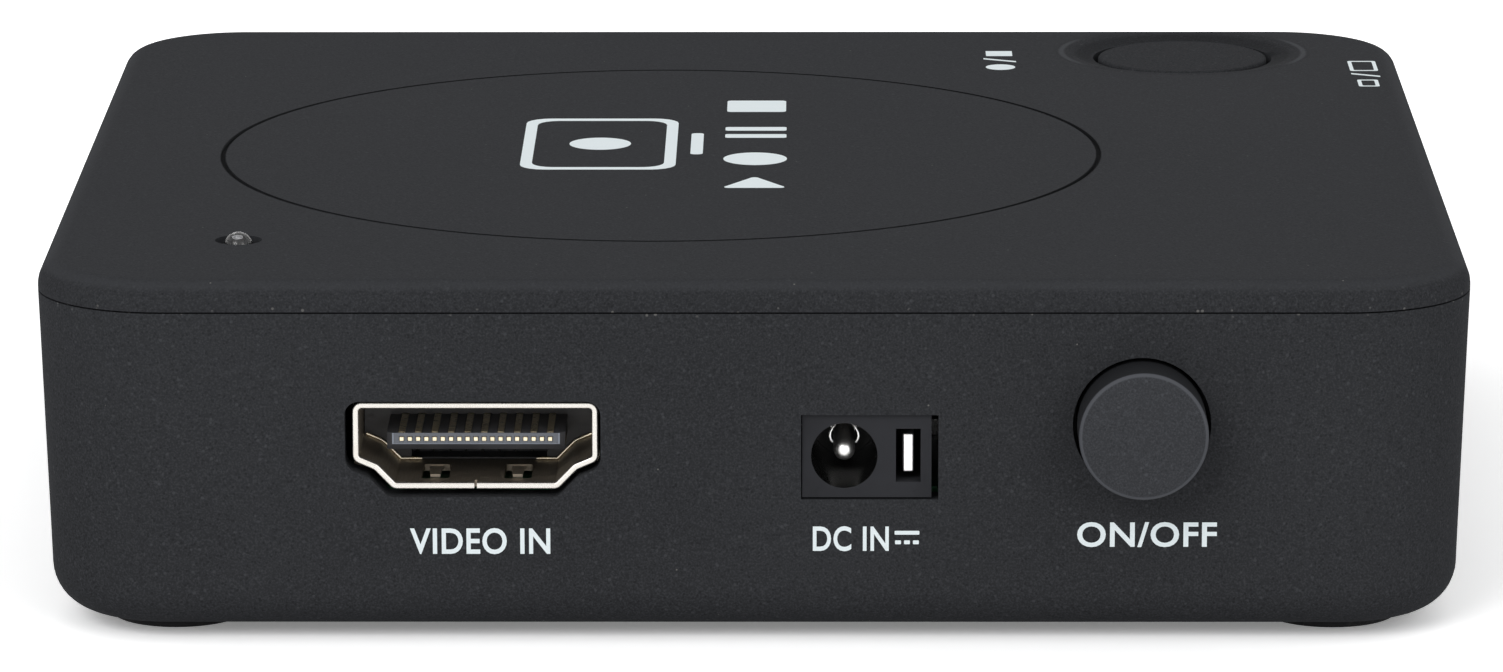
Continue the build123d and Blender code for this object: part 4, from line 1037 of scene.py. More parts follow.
def rows(
    name: str, piece: bpy.types.Object, count: tuple[int, int], pitch: Flat, centre: Point,
    material: bpy.types.Material,
) -> bpy.types.Object:
    """Repeats one piece in rows about a centre.

    Args:
        name: the new object's name.
        piece: the piece, made about the origin and deleted afterwards.
        count: how many along X and Y.
        pitch: the spacing along X and Y, in metres.
        centre: the middle of the pattern.
        material: the finish.

    Returns:
        One object that holds every copy.
    """
    plan = Pattern(f"{name}_rows")
    count_x = plan.ask("Count X", "NodeSocketInt", count[0])
    count_y = plan.ask("Count Y", "NodeSocketInt", count[1])
    size_x = plan.ask("Length X", "NodeSocketFloat", pitch[0] * (count[0] - 1))
    size_y = plan.ask("Length Y", "NodeSocketFloat", pitch[1] * (count[1] - 1))
    where = plan.ask("Centre", "NodeSocketVector", centre)
    source = plan.ask("Piece", "NodeSocketObject", piece)
    grid = plan.node(
        "GeometryNodeMeshGrid", None,
        {"Size X": size_x, "Size Y": size_y, "Vertices X": count_x, "Vertices Y": count_y},
    )
    points = plan.node("GeometryNodeMeshToPoints", None, {"Mesh": grid.outputs["Mesh"]})
    shape = plan.node("GeometryNodeObjectInfo", None, {"Object": source})
    copies = plan.node(
        "GeometryNodeInstanceOnPoints", None,
        {"Points": points.outputs[0], "Instance": shape.outputs["Geometry"]},
    )
    placed = plan.node("GeometryNodeTransform", None, {"Geometry": copies.outputs[0], "Translation": where})
    obj = plan.run(name, placed.outputs[0], material)
    removed([piece])
    return obj


def coil(
    name: str, turns: float, radius: float, wire: float, length: float, matrix: Matrix,
    material: bpy.types.Material,
) -> bpy.types.Object:
    """A coil spring along +Z from the origin, then placed by a matrix.

    Args:
        name: the new object's name.
        turns: number of turns.
        radius: the coil's radius at the wire's middle.
        wire: the wire's diameter.
        length: the coil's length.
        matrix: where it goes.
        material: the finish.

    Returns:
        The object.
    """
    plan = Pattern(f"{name}_wind")
    spiral = plan.node("GeometryNodeCurveSpiral", None, {
        "Resolution": plan.ask("Chords", "NodeSocketInt", 40),
        "Rotations": plan.ask("Turns", "NodeSocketFloat", turns),
        "Start Radius": plan.ask("Radius", "NodeSocketFloat", radius),
        "End Radius": plan.ask("End Radius", "NodeSocketFloat", radius),
        "Height": plan.ask("Length", "NodeSocketFloat", length),
    })
    section = plan.node("GeometryNodeCurvePrimitiveCircle", None, {
        "Resolution": 12, "Radius": plan.ask("Wire", "NodeSocketFloat", wire / 2),
    })
    body = plan.node("GeometryNodeCurveToMesh", None, {
        "Curve": spiral.outputs[0], "Profile Curve": section.outputs[0], "Fill Caps": True,
    })
    obj = plan.run(name, body.outputs[0], material)
    obj.data.transform(matrix)
    obj.data.shade_smooth()
    return obj


# Pieces


def dress(obj: bpy.types.Object, material: bpy.types.Material) -> bpy.types.Object:
    """Gives an object one material."""
    obj.data.materials.clear()
    obj.data.materials.append(material)
    return obj


def fit(obj: bpy.types.Object, body: Body, slot: str, *nodes: str) -> bpy.types.Object:
    """Rides a finished piece on its body and says what it stands for.

    Args:
        obj: the piece.
        body: the body that it rides on.
        slot: not used.
        nodes: the CAD nodes that it replaces.

    Returns:
        The piece.
    """
    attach(obj, body.value)
    if nodes:
        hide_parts(*nodes)
    stood_for = ", ".join(nodes) or "-"
    LOG.info("%s: %d faces, on %s, for %s", obj.name, len(obj.data.polygons), body.value, stood_for)
    return obj


def refined(
    node: str, width: float, material: bpy.types.Material, slot: str, body: Body = Body.HOUSING
) -> bpy.types.Object:
    """Stands a merged copy with rounded edges in a CAD node's place.

    Args:
        node: the CAD node.
        width: the rounding of its edges, in metres.
        material: its finish.
        slot: passed on to fit, which does not use it.
        body: the body that it rides on.

    Returns:
        The piece.
    """
    obj = soften(merged_copy(node, f"{node}_look"), width)
    return fit(dress(obj, material), body, slot, node)


# The object


@dataclass(frozen=True)
class Finishes:
    """Every finish that the object wears."""

    tub: bpy.types.Material
    lid: bpy.types.Material
    button: bpy.types.Material
    rubber: bpy.types.Material
    steel: bpy.types.Material
    front_shell: bpy.types.Material
    brass: bpy.types.Material
    tin: bpy.types.Material
    gold: bpy.types.Material
    jack: bpy.types.Material
    front_block: bpy.types.Material
    back_block: bpy.types.Material
    switch: bpy.types.Material
    pale: bpy.types.Material
    zinc: bpy.types.Material
    board: bpy.types.Material
    lens: bpy.types.Material
    chip: bpy.types.Material
    pad: bpy.types.Material
    sink: bpy.types.Material
    can: bpy.types.Material
    ceramic: bpy.types.Material
    ink: bpy.types.Material

    @classmethod
    def mixed(cls) -> "Finishes":
        """Makes all the finishes."""
        steel = (0.80, 0.79, 0.75)
        return cls(
            tub=SoftCoat("tub_soft_coat", seam_z=20.75 * MM).material(),
            lid=SoftCoat(
                "lid_soft_coat", (0.0257, 0.0267, 0.0292), seam_z=20.9 * MM, shoulder_highlight_z=22.35 * MM,
                ring=(-6.2 * MM, -0.15 * MM, 28.3 * MM), dish=(29.0 * MM, 34.95 * MM, 8.3 * MM),
            ).material(),
            button=SoftCoat(
                "button_soft_coat", (0.0285, 0.0300, 0.0338), 0.6, 0.1 * MM, 0.006 * MM, 0.3, 0.2,
                rim=(23.46 * MM, 13.8 * MM, 3.91 * MM),
            ).material(),
            rubber=Rubber("foot_rubber").material(),
            steel=Plate("nickel_plate", steel, 0.15).material(),
            front_shell=Plate(
                "front_nickel_plate", (0.70, 0.675, 0.63), 0.28, tarnish=(0.50, 0.40, 0.28),
                mouth_y=-40.11 * MM,
            ).material(),
            brass=Plate("brass_strip", (0.97, 0.88, 0.70), 0.22).material(),
            tin=Plate("tin_plate", (0.95, 0.94, 0.92), 0.34, (1.0, 0.1, 1.0), tarnish_share=0.1).material(),
            gold=Plate(
                "gold_plate", (0.90, 0.80, 0.58), 0.3, (0.2, 1.0, 1.0), (0.40, 0.28, 0.17), 0.35
            ).material(),
            jack=Moulded(
                "jack_plastic", (0.0205, 0.0212, 0.0245), 0.7, shine=0.15,
                bore=(5.5 * MM, 11.84 * MM, 2.0 * MM),
            ).material(),
            front_block=Moulded(
                "front_block_plastic", (0.040, 0.041, 0.046), 0.45, nose_y=-39.06 * MM
            ).material(),
            back_block=Moulded(
                "back_block_plastic", (0.018, 0.019, 0.021), 0.34, nose_y=42.16 * MM
            ).material(),
            switch=Moulded("switch_plastic", (0.018, 0.018, 0.020), 0.45).material(),
            pale=Moulded("plunger_plastic", (0.55, 0.55, 0.52), 0.5).material(),
            zinc=Plate("zinc_steel", (0.42, 0.42, 0.43), 0.32, (1.0, 1.0, 0.1)).material(),
            board=Laminate("board_laminate").material(),
            lens=Lens("clear_lens").material(),
            chip=Moulded("chip_compound", (0.020, 0.020, 0.022), 0.55, 0.08 * MM, 0.006 * MM).material(),
            pad=Moulded("pad_silicone", (0.28, 0.32, 0.36), 0.7, 0.3 * MM, 0.01 * MM).material(),
            sink=Plate("sink_aluminium", (0.60, 0.60, 0.61), 0.36, (1.0, 0.04, 1.0)).material(),
            can=Plate("can_aluminium", (0.74, 0.74, 0.75), 0.28, (1.0, 1.0, 0.08)).material(),
            ceramic=Ceramic("chip_ceramic", 5.454 * MM, 2.2 * MM, 0.8 * MM, 0.3 * MM).material(),
            ink=Ink("white_ink").material(),
        )


@dataclass
class Housing:
    """The two covers, the four feet and the screws that hold the lid."""

    centre_y: float = 1.55 * MM
    foot_x: float = 35.4 * MM
    foot_y: float = 33.4 * MM
    foot_radius: float = 4.3 * MM
    foot_top: float = 1.4 * MM
    foot_edge: float = 0.35 * MM
    foot_bevel: float = 0.1 * MM
    foot_dimple: float = 0.12 * MM
    screw_x: float = 37.15 * MM
    screw_y: float = 35.0 * MM
    screw_seat: float = 5.85 * MM

    def foot(self, name: str, x: float, y: float) -> bpy.types.Object:
        """A rubber foot: a pad with a rounded rim, a shallow dimple below and a moulded ring.

        Args:
            name: the piece's name.
            x: its middle.
            y: its middle.

        Returns:
            The foot.
        """
        r, e, bevel, dimple = self.foot_radius, self.foot_edge, self.foot_bevel, self.foot_dimple
        profile = [(POLE, dimple), (r * 0.52, dimple), (r * 0.6, dimple / 6), (r * 0.66, 0.0), (r - e, 0.0)]
        profile += arc((r - e, e), e, -90, 0, 5)[1:]
        profile += [(r, self.foot_top - bevel), (r - bevel, self.foot_top), (POLE, self.foot_top)]
        return turned(name, profile, Matrix.Translation((x, y, 0.0)), 72)

    def build(self, finishes: Finishes) -> None:
        """Builds and dresses the covers, feet and screws."""
        refined("bottom_cover", 0.0, finishes.tub, "cover_plastic")
        refined("top_cover", 0.0, finishes.lid, "cover_plastic")
        for node, sx, sy in (
            ("foot_front_left", -1, -1), ("foot_front_right", 1, -1),
            ("foot_back_right", 1, 1), ("foot_back_left", -1, 1),
        ):
            pad = self.foot(f"{node}_look", sx * self.foot_x, self.centre_y + sy * self.foot_y)
            fit(dress(soften(pad, 0.0), finishes.rubber), Body.HOUSING, "foot_rubber", node)
        screw = pan_screw("cover_screw", 1.0 * MM, 12.0 * MM, 1.7 * MM, 1.3 * MM, up=True)
        screws = rows(
            "cover_screws_look", screw, (2, 2), (2 * self.screw_x, 2 * self.screw_y),
            (0.0, self.centre_y, self.screw_seat), finishes.zinc,
        )
        fit(soften(screws, 0.0), Body.HOUSING, "screw_steel", "cover_screws")


@dataclass
class VideoSocket:
    """A 19-contact video socket: stamped shell, moulded block with its tongue, and contacts."""

    name: str
    place: Matrix
    width: float = 14.9 * MM
    height: float = 5.4 * MM
    sheet: float = 0.4 * MM
    depth: float = 11.0 * MM
    low: float = 0.46 * MM
    bend: float = 0.6 * MM
    lip: float = 0.13 * MM
    seam_half: float = 0.08 * MM
    seam_reach: float = 0.8 * MM
    window_x: float = 2.5 * MM
    window_half: float = 0.85 * MM
    window_front: float = 1.2 * MM
    window_back: float = 4.9 * MM
    window_corner: float = 0.25 * MM
    spring_root: float = 4.95 * MM
    spring_half: float = 0.375 * MM
    spring_sheet_half: float = 0.1 * MM
    lower_tip: float = 1.5 * MM
    lower_rise: float = 0.5 * MM
    upper_tip: float = 1.9 * MM
    upper_rise: float = -0.12 * MM
    leg_rows: Flat = (2.8 * MM, 8.4 * MM)
    leg_half: float = 0.55 * MM
    leg_reach: float = 0.7 * MM
    leg_top: float = 3.1 * MM
    board: float = 1.6 * MM
    cavity: float = 6.2 * MM
    bead_radius: float = 0.12 * MM
    bead_end_x: float = 3.5 * MM
    tongue_z: float = 3.16 * MM
    contact_offset: float = 0.59 * MM
    contact_sheet: float = 0.16 * MM
    contact_half: float = 0.2 * MM
    contact_tail: float = 11.03 * MM
    contact_foot: float = 0.96 * MM
    contact_pitch: float = 1.0 * MM
    upper_start: float = 1.25 * MM
    lower_start: float = 1.75 * MM
    nose_start: float = 0.97 * MM
    nose_half: float = 0.13 * MM
    nose_lift: float = 0.2 * MM

    def outline(self, inset: float) -> list[Flat]:
        """The mouth's outline, drawn in by inset, with its corners rounded.

        Args:
            inset: how far it is drawn in.

        Returns:
            The outline in X and Z.
        """
        half, high = self.width / 2, self.low + self.height
        right = [
            (0.671 * half, self.low), (0.826 * half, self.low + 0.222 * self.height),
            (half, self.low + 0.324 * self.height), (half, high),
        ]
        corners = [Vector(p) for p in right] + [Vector((-x, z)) for x, z in reversed(right)]
        drawn, radii = [], []
        for i, here in enumerate(corners):
            a = (here - corners[i - 1]).normalized()
            b = (corners[(i + 1) % len(corners)] - here).normalized()
            normal_a, normal_b = Vector((-a.y, a.x)), Vector((-b.y, b.x))
            drawn.append(here + (normal_a + normal_b) * (inset / (1 + normal_a.dot(normal_b))))
            outward = a.x * b.y - a.y * b.x > 0
            radii.append(self.bend - inset if outward else self.bend + inset)
        return rounded([tuple(p) for p in drawn], radii)

    def spring(self, x: float, root: float, tip: float, z: float, rise: float) -> bpy.types.Object:
        """A curved spring tongue that bends out of the sheet.

        Args:
            x: its middle.
            root: y of its root.
            tip: y of its tip.
            z: height of the sheet's middle.
            rise: how far its crest stands from the sheet.

        Returns:
            The tongue.
        """
        half, thick = self.spring_half, self.spring_sheet_half
        loops = []
        for i in range(13):
            t = i / 12
            y = root + (tip - root) * t
            crest = math.sin(min(t / 0.82, 1.0) * math.pi / 2) ** 1.6 - max(0.0, t - 0.82) * 2.4
            middle = z + rise * crest
            w = half * (1.0 if t < 0.8 else 1.0 - (t - 0.8) * 1.1)
            loops.append([
                (x - w, y, middle - thick), (x + w, y, middle - thick),
                (x + w, y, middle + thick), (x - w, y, middle + thick),
            ])
        return loft(f"{self.name}_spring", loops)

    def shell(self) -> bpy.types.Object:
        """The stamped shell: rolled lip, seam, spring windows, springs and board legs."""
        t, lip = self.sheet, self.lip
        quarter = np.linspace(0, math.pi / 2, 5)
        section = [(self.depth, 0.0)]
        section += [(lip - lip * math.sin(a), lip - lip * math.cos(a)) for a in quarter]
        section += [(lip - lip * math.cos(a), t - lip + lip * math.sin(a)) for a in quarter]
        section += [(self.depth, t)]
        loops = [[(x, y, z) for x, z in self.outline(inset)] for y, inset in section]
        shell = loft(f"{self.name}_shell_look", loops, closed=True)
        low, high, over = self.low, self.low + self.height, 0.3 * MM
        tools = [box_body(
            "seam", (-self.seam_half, -1 * MM, low - 1 * MM), (self.seam_half, self.seam_reach, low + t + 0.2 * MM)
        )]
        legs = []
        for side in (-1, 1):
            x, half = side * self.window_x, self.window_half
            for z0 in (low - over, high - t - over):
                corner = (x + half, self.window_back, z0 + t + 2 * over)
                tools.append(box_body("window", (x - half, self.window_front, z0), corner, self.window_corner))
            x0, x1 = sorted((side * self.width / 2, side * (self.width / 2 - t)))
            for y in self.leg_rows:
                near, far = (x0, y - self.leg_half), (x1, y + self.leg_half)
                legs.append(leg(f"{self.name}_leg", near, far, -self.board - self.leg_reach, self.leg_top))
        cut(shell, tools)
        cut(shell, legs, "UNION")
        bends = (self.lower_tip, low + t / 2, self.lower_rise), (self.upper_tip, high - t / 2, self.upper_rise)
        springs = [
            self.spring(side * self.window_x, self.spring_root, *bend) for bend in bends for side in (-1, 1)
        ]
        return join(f"{self.name}_shell_look", [shell, *springs])

    def beads(self) -> bpy.types.Object:
        """The thin stop beads on the shell's lower corners, where the block ends."""
        radius, y, high = self.bead_radius, self.cavity - 0.1 * MM, self.low + 0.38 * self.height
        inset = self.sheet + radius * 0.8
        right = [(x, z) for x, z in self.outline(inset) if x > 0 and z < high]
        right = [(self.bead_end_x, right[0][1]), *right]
        return join(f"{self.name}_beads", [
            tube("bead", [(side * x, y, z) for x, z in right], radius) for side in (-1, 1)
        ])

    def contact(self, above: bool) -> bpy.types.Object:
        """One contact about x = 0: nose, blade, drop behind the block and foot.

        Args:
            above: whether it lies on the tongue's upper side.

        Returns:
            The contact.
        """
        up = 1 if above else -1
        s, half = self.contact_sheet, self.nose_half
        z = self.tongue_z + up * self.contact_offset
        inner, root = z - up * s, z - up * s / 3
        start = self.upper_start if above else self.lower_start
        tail, nose = self.contact_tail, self.tongue_z + self.nose_lift
        toe = tail + self.contact_foot
        blade = [(start, z), (start, inner), (tail, inner), (tail, s), (tail, 0.0), (toe, 0.0), (toe, s),
                 (tail + s * 1.4, s), (tail + s, s * 1.4), (tail + s, z)]
        tip = [(self.nose_start, nose - half), (start + s, nose - half), (start + s, inner), (start + s, root),
               (start, root), (start, nose + half), (self.nose_start, nose + half)]
        return join("contact", [
            slab("blade", blade, -self.contact_half, self.contact_half), slab("nose", tip, -half, half),
        ])

    def build(self, finishes: Finishes, plate: bpy.types.Material, block: bpy.types.Material) -> None:
        """Builds the socket's three nodes.

        Args:
            finishes: the object's finishes.
            plate: the finish of the shell.
            block: the finish of the moulded block.
        """
        shell = soften(moved(self.shell(), self.place), 0.0, angle=40.0)
        fit(dress(shell, plate), Body.HOUSING, "plated_steel", f"{self.name}_shell")
        beads = soften(moved(self.beads(), self.place), 0.0, angle=60.0)
        fit(dress(beads, finishes.brass), Body.HOUSING, "plated_steel")
        refined(f"{self.name}_insulator", 0.04 * MM, block, "socket_plastic")
        pitch, middle = (self.contact_pitch, self.contact_pitch), (0.0, 0.0, 0.0)
        upper = rows("upper", self.contact(True), (10, 1), pitch, middle, finishes.gold)
        lower = rows("lower", self.contact(False), (9, 1), pitch, middle, finishes.gold)
        both = soften(moved(join(f"{self.name}_contacts_look", [upper, lower]), self.place), 0.025 * MM, 1)
        fit(dress(both, finishes.gold), Body.HOUSING, "gold_plate", f"{self.name}_contacts")


@dataclass
class PowerJack:
    """The round power jack: body, domed pin, sprung sleeve contact and switch contact."""

    bore_x: float = 5.5 * MM
    bore_z: float = 11.84 * MM
    bore_radius: float = 2.0 * MM
    bore_depth: float = 9.0 * MM
    mouth_y: float = -40.2406 * MM
    leg_bottom: float = 6.95 * MM
    pin_radius: float = 0.65 * MM
    pin_recess: float = 1.1 * MM
    pin_rear_radius: float = 0.85 * MM
    pin_end: float = 12.9 * MM
    pin_bevel: float = 0.1 * MM
    pin_tail_half: float = 0.5 * MM
    pin_tail_sheet: float = 0.65 * MM
    leaf_top: float = 2.3 * MM
    leaf_front: float = 2.5 * MM
    leaf_half: float = 0.75 * MM
    leaf_sheet: float = 0.3 * MM
    leaf_dip: float = 0.42 * MM
    leaf_curl: float = 0.16 * MM
    arm_end: float = 11.8 * MM
    arm_reach: float = 1.9 * MM
    arm_edge: float = 0.05 * MM
    prong_radius: float = 0.07 * MM
    body_rise: float = 0.1 * MM
    body_shift: float = 0.06 * MM
    body_band: float = 0.05 * MM

    def pin(self) -> bpy.types.Object:
        """The centre pin, domed in front, with its tail."""
        r, nose, rear, end = self.pin_radius, self.pin_recess, self.pin_rear_radius, self.pin_end
        quarter = np.linspace(0, math.pi / 2, 9)
        profile = [(r * math.sin(a) + POLE, nose + r - r * math.cos(a)) for a in quarter]
        profile += [(r, self.bore_depth), (rear, self.bore_depth), (rear, end - self.pin_bevel)]
        profile += [(rear - self.pin_bevel, end), (POLE, end)]
        body = turned("power_jack_pin_look", profile, along_y(self.bore_x, self.mouth_y, self.bore_z), 48)
        tail = box_body(
            "tail", (self.bore_x - self.pin_tail_half, self.mouth_y + end - self.pin_tail_sheet, self.leg_bottom),
            (self.bore_x + self.pin_tail_half, self.mouth_y + end, self.bore_z), 0.08 * MM,
        )
        return cut(body, [tail], "UNION")

    def leaf(self) -> bpy.types.Object:
        """The sleeve contact: a leaf rolled to the bore's curve that dips in, an arm and a tail."""
        y0, top = self.mouth_y, self.bore_z + self.leaf_top
        half, sheet, curl = self.leaf_half, self.leaf_sheet, self.leaf_curl
        loops = []
        for i in range(21):
            t = i / 20
            y = y0 + self.leaf_front + (self.bore_depth - self.leaf_front) * t
            dip = self.leaf_dip * math.sin(math.pi * min(1.0, t * 1.15)) if t < 0.87 else 0.0
            flare = curl * max(0.0, 1 - t * 6)
            under, over = [], []
            for j in range(9):
                x = half * (j / 4 - 1)
                sag = curl * (1 - (x / half) ** 2)
                under.append((self.bore_x + x, y, top - sheet - dip - sag + flare + curl / 2))
                over.append((self.bore_x + x, y, top - dip - sag * 0.8 + flare))
            loops.append(under + over[::-1])
        leaf = loft("power_jack_spring_look", loops)
        left, tail_x, end = self.bore_x - half, self.bore_x + self.arm_reach, y0 + self.arm_end
        start = y0 + self.bore_depth - self.arm_edge
        strips = (
            ("bridge", (left, start, top - sheet), self.bore_x + half),
            ("arm", (left, end - sheet, top - sheet), tail_x + half),
            ("tail", (tail_x - half, end - sheet, self.leg_bottom), tail_x + half),
        )
        bent = [box_body(name, low, (right, end, top), self.arm_edge) for name, low, right in strips]
        return join("power_jack_spring_look", [leaf, *bent])

    def body(self) -> bpy.types.Object:
        """The moulded body, seated close under the opening's upper edge and against its left side."""
        lo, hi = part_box("power_jack_body")
        body = soften(merged_copy("power_jack_body", "power_jack_body_look"), 0.03 * MM)
        for vertex in body.data.vertices:
            if vertex.co.z > hi.z - self.body_band:
                vertex.co.z += self.body_rise
            if vertex.co.x < lo.x + self.body_band:
                vertex.co.x -= self.body_shift
        return body

    def fork(self) -> bpy.types.Object:
        """The leaf's forked front end: two bent prongs that hang into the bore."""
        top = self.bore_z + self.bore_radius
        steps = (
            (0.30, -0.08, 1.3), (0.50, -0.26, 1.1), (0.70, -0.46, 0.9), (0.84, -0.72, 0.8),
            (0.87, -0.96, 0.8), (0.82, -1.18, 0.85), (0.70, -1.38, 1.0),
        )
        prongs = []
        for side in (-1, 1):
            path = [
                (self.bore_x + side * x * MM, self.mouth_y + y * MM, top + z * MM) for x, z, y in steps
            ]
            prongs.append(tube("prong", path, self.prong_radius))
        return join("power_jack_fork_look", prongs)

    def build(self, finishes: Finishes) -> None:
        """Builds the jack's four nodes and the leaf's fork."""
        fit(dress(self.body(), finishes.jack), Body.HOUSING, "socket_plastic", "power_jack_body")
        fit(dress(soften(self.fork(), 0.0, angle=60.0), finishes.tin), Body.HOUSING, "tin_plate")
        fit(dress(soften(self.pin(), 0.0), finishes.tin), Body.HOUSING, "tin_plate", "power_jack_pin")
        leaf = soften(self.leaf(), 0.0, angle=50.0)
        fit(dress(leaf, finishes.tin), Body.HOUSING, "tin_plate", "power_jack_spring")
        refined("power_jack_switch_contact", 0.12 * MM, finishes.tin, "tin_plate")


@dataclass
class BackSockets:
    """The memory-stick socket and the sound jack in the back wall."""

    edge: float = 0.06 * MM

    def build(self, finishes: Finishes) -> None:
        """Dresses the nodes with rounded edges."""
        refined("drive_socket_shell", self.edge, finishes.steel, "plated_steel")
        refined("drive_socket_insulator", self.edge, finishes.pale, "socket_plastic")
        refined("drive_socket_contacts", 0.05 * MM, finishes.gold, "gold_plate")
        refined("audio_jack_body", 0.1 * MM, finishes.jack, "socket_plastic")
        refined("audio_jack_contacts", 0.05 * MM, finishes.tin, "tin_plate")


@dataclass
class PowerButton:
    """The push button in the front wall and the latching switch behind it."""

    x: float = 23.46 * MM
    z: float = 13.8 * MM
    radius: float = 3.91 * MM
    edge: float = 0.28 * MM
    crown: float = 0.03 * MM
    flange_radius: float = 4.7 * MM
    flange_thickness: float = 0.8 * MM
    flange_bevel: float = 0.1 * MM
    pocket_half: float = 1.75 * MM
    pocket_depth: float = 3.0 * MM
    spring_wall: float = -25.645 * MM
    spring_wire: float = 0.4 * MM
    spring_radius: float = 1.35 * MM
    spring_turns: float = 4.0
    spring_keep: float = 0.46

    def cap(self) -> bpy.types.Object:
        """The cap: a slightly crowned face, a rounded rim, a skirt and the flange behind the wall."""
        lo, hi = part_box("power_button_cap")
        r, e, crown, flange, bevel = self.radius, self.edge, self.crown, self.flange_radius, self.flange_bevel
        length = hi.y - lo.y
        neck = length - self.flange_thickness
        profile = [(POLE, 0.0), (r * 0.5, 0.004 * MM), (r - e - 0.25 * MM, 0.02 * MM), (r - e, crown)]
        for a in np.linspace(0.15, math.pi / 2, 7):
            profile.append((r - e + e * math.sin(a), crown + e - e * math.cos(a)))
        profile += [(r, neck - bevel), (r, neck), (flange - bevel, neck), (flange, neck + bevel)]
        profile += [(flange, length - bevel), (flange - bevel, length), (POLE, length)]
        cap = turned("power_button_cap_look", profile, along_y(self.x, lo.y, self.z), 120)
        half = self.pocket_half
        pocket = box_body(
            "pocket", (self.x - half, hi.y - self.pocket_depth, self.z - half),
            (self.x + half, hi.y + 1 * MM, self.z + half), 0.2 * MM,
        )
        return cut(cap, [pocket])

    def build(self, finishes: Finishes) -> None:
        """Builds the cap and the switch."""
        cap = soften(self.cap(), 0.0)
        fit(dress(cap, finishes.button), Body.POWER, "button_plastic", "power_button_cap")
        refined("power_switch_body", 0.15 * MM, finishes.switch, "switch_plastic")
        refined("power_switch_plunger", 0.15 * MM, finishes.pale, "plunger_plastic", Body.POWER)
        refined("power_switch_pins", 0.05 * MM, finishes.tin, "tin_plate")
        lo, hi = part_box("power_switch_spring")
        wire = self.spring_wire
        spring = coil(
            "power_spring_look", self.spring_turns, self.spring_radius, wire, hi.y - lo.y - wire,
            along_y(self.x, lo.y + wire / 2, self.z), finishes.zinc,
        )
        fit(spring, Body.HOUSING, "screw_steel", "power_switch_spring")
        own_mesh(spring)


@dataclass
class RecordButton:
    """The round button in the lid and the small switch under it."""

    edge: float = 0.15 * MM

    def build(self, finishes: Finishes) -> None:
        """Dresses the cap and the switch."""
        refined("record_button_cap", 0.0, finishes.lid, "button_plastic", Body.RECORD)
        refined("record_switch_body", self.edge, finishes.switch, "switch_plastic")
        refined("record_switch_cover", 0.06 * MM, finishes.steel, "plated_steel")
        refined("record_switch_plunger", 0.2 * MM, finishes.pale, "plunger_plastic", Body.RECORD)
        refined("record_switch_pins", 0.05 * MM, finishes.tin, "tin_plate")


@dataclass
class StatusLight:
    """The clear lens with its chip cup, legs and sleeve."""

    x: float = -31.75 * MM
    y: float = -28.05 * MM
    top: float = 23.1 * MM
    radius: float = 0.9 * MM
    length: float = 3.1 * MM
    collar_radius: float = 1.2 * MM
    collar_height: float = 0.5 * MM
    collar_bevel: float = 0.05 * MM
    cast_bottom: float = 20.2 * MM
    cup_x: float = -0.04 * MM
    cup_rim_z: float = 22.6 * MM
    cup_rim: float = 0.24 * MM
    cup_stem: float = 0.14 * MM
    post_x: float = 0.51 * MM
    post_half: Flat = (0.13 * MM, 0.14 * MM)
    post_top: float = 22.1 * MM

    def lens(self) -> bpy.types.Object:
        """The domed lens with its collar."""
        r, low, bevel = self.radius, self.top - self.length, self.collar_bevel
        wide, step = self.collar_radius, low + self.collar_height
        profile = [(POLE, low), (wide - bevel, low), (wide, low + bevel), (wide, step - bevel)]
        profile += [(wide - bevel, step), (r, step)]
        for a in np.linspace(0, math.pi / 2, 13):
            profile.append((r * math.cos(a) + POLE, self.top - r + r * math.sin(a)))
        return turned("status_light_lens_look", profile, Matrix.Translation((self.x, self.y, 0.0)), 64)

    def cast(self) -> bpy.types.Object:
        """The chip's cup on its stem, and the post beside it, both cast in the lens."""
        rim_z, rim, stem, bottom = self.cup_rim_z, self.cup_rim, self.cup_stem, self.cast_bottom
        cup = [(POLE, rim_z - 0.25 * MM), (0.1 * MM, rim_z - 0.25 * MM), (rim - 0.04 * MM, rim_z), (rim, rim_z),
               (rim, rim_z - 0.5 * MM), (stem, rim_z - 0.65 * MM), (stem, bottom), (POLE, bottom)]
        chip = turned("status_light_cup", cup, Matrix.Translation((self.x + self.cup_x, self.y, 0.0)), 32)
        middle, (half_x, half_y) = self.x + self.post_x, self.post_half
        post = box_body(
            "status_light_post", (middle - half_x, self.y - half_y, bottom),
            (middle + half_x, self.y + half_y, self.post_top), 0.04 * MM,
        )
        return join("status_light_cast", [chip, post])

    def build(self, finishes: Finishes) -> None:
        """Builds the lens and what is cast into it, and dresses the legs and the sleeve."""
        fit(dress(soften(self.lens(), 0.0), finishes.lens), Body.HOUSING, "clear_lens", "status_light_lens")
        fit(dress(soften(self.cast(), 0.0), finishes.zinc), Body.HOUSING, "tin_plate")
        refined("status_light_legs", 0.05 * MM, finishes.tin, "tin_plate")
        refined("status_light_spacer", 0.08 * MM, finishes.pale, "plunger_plastic")


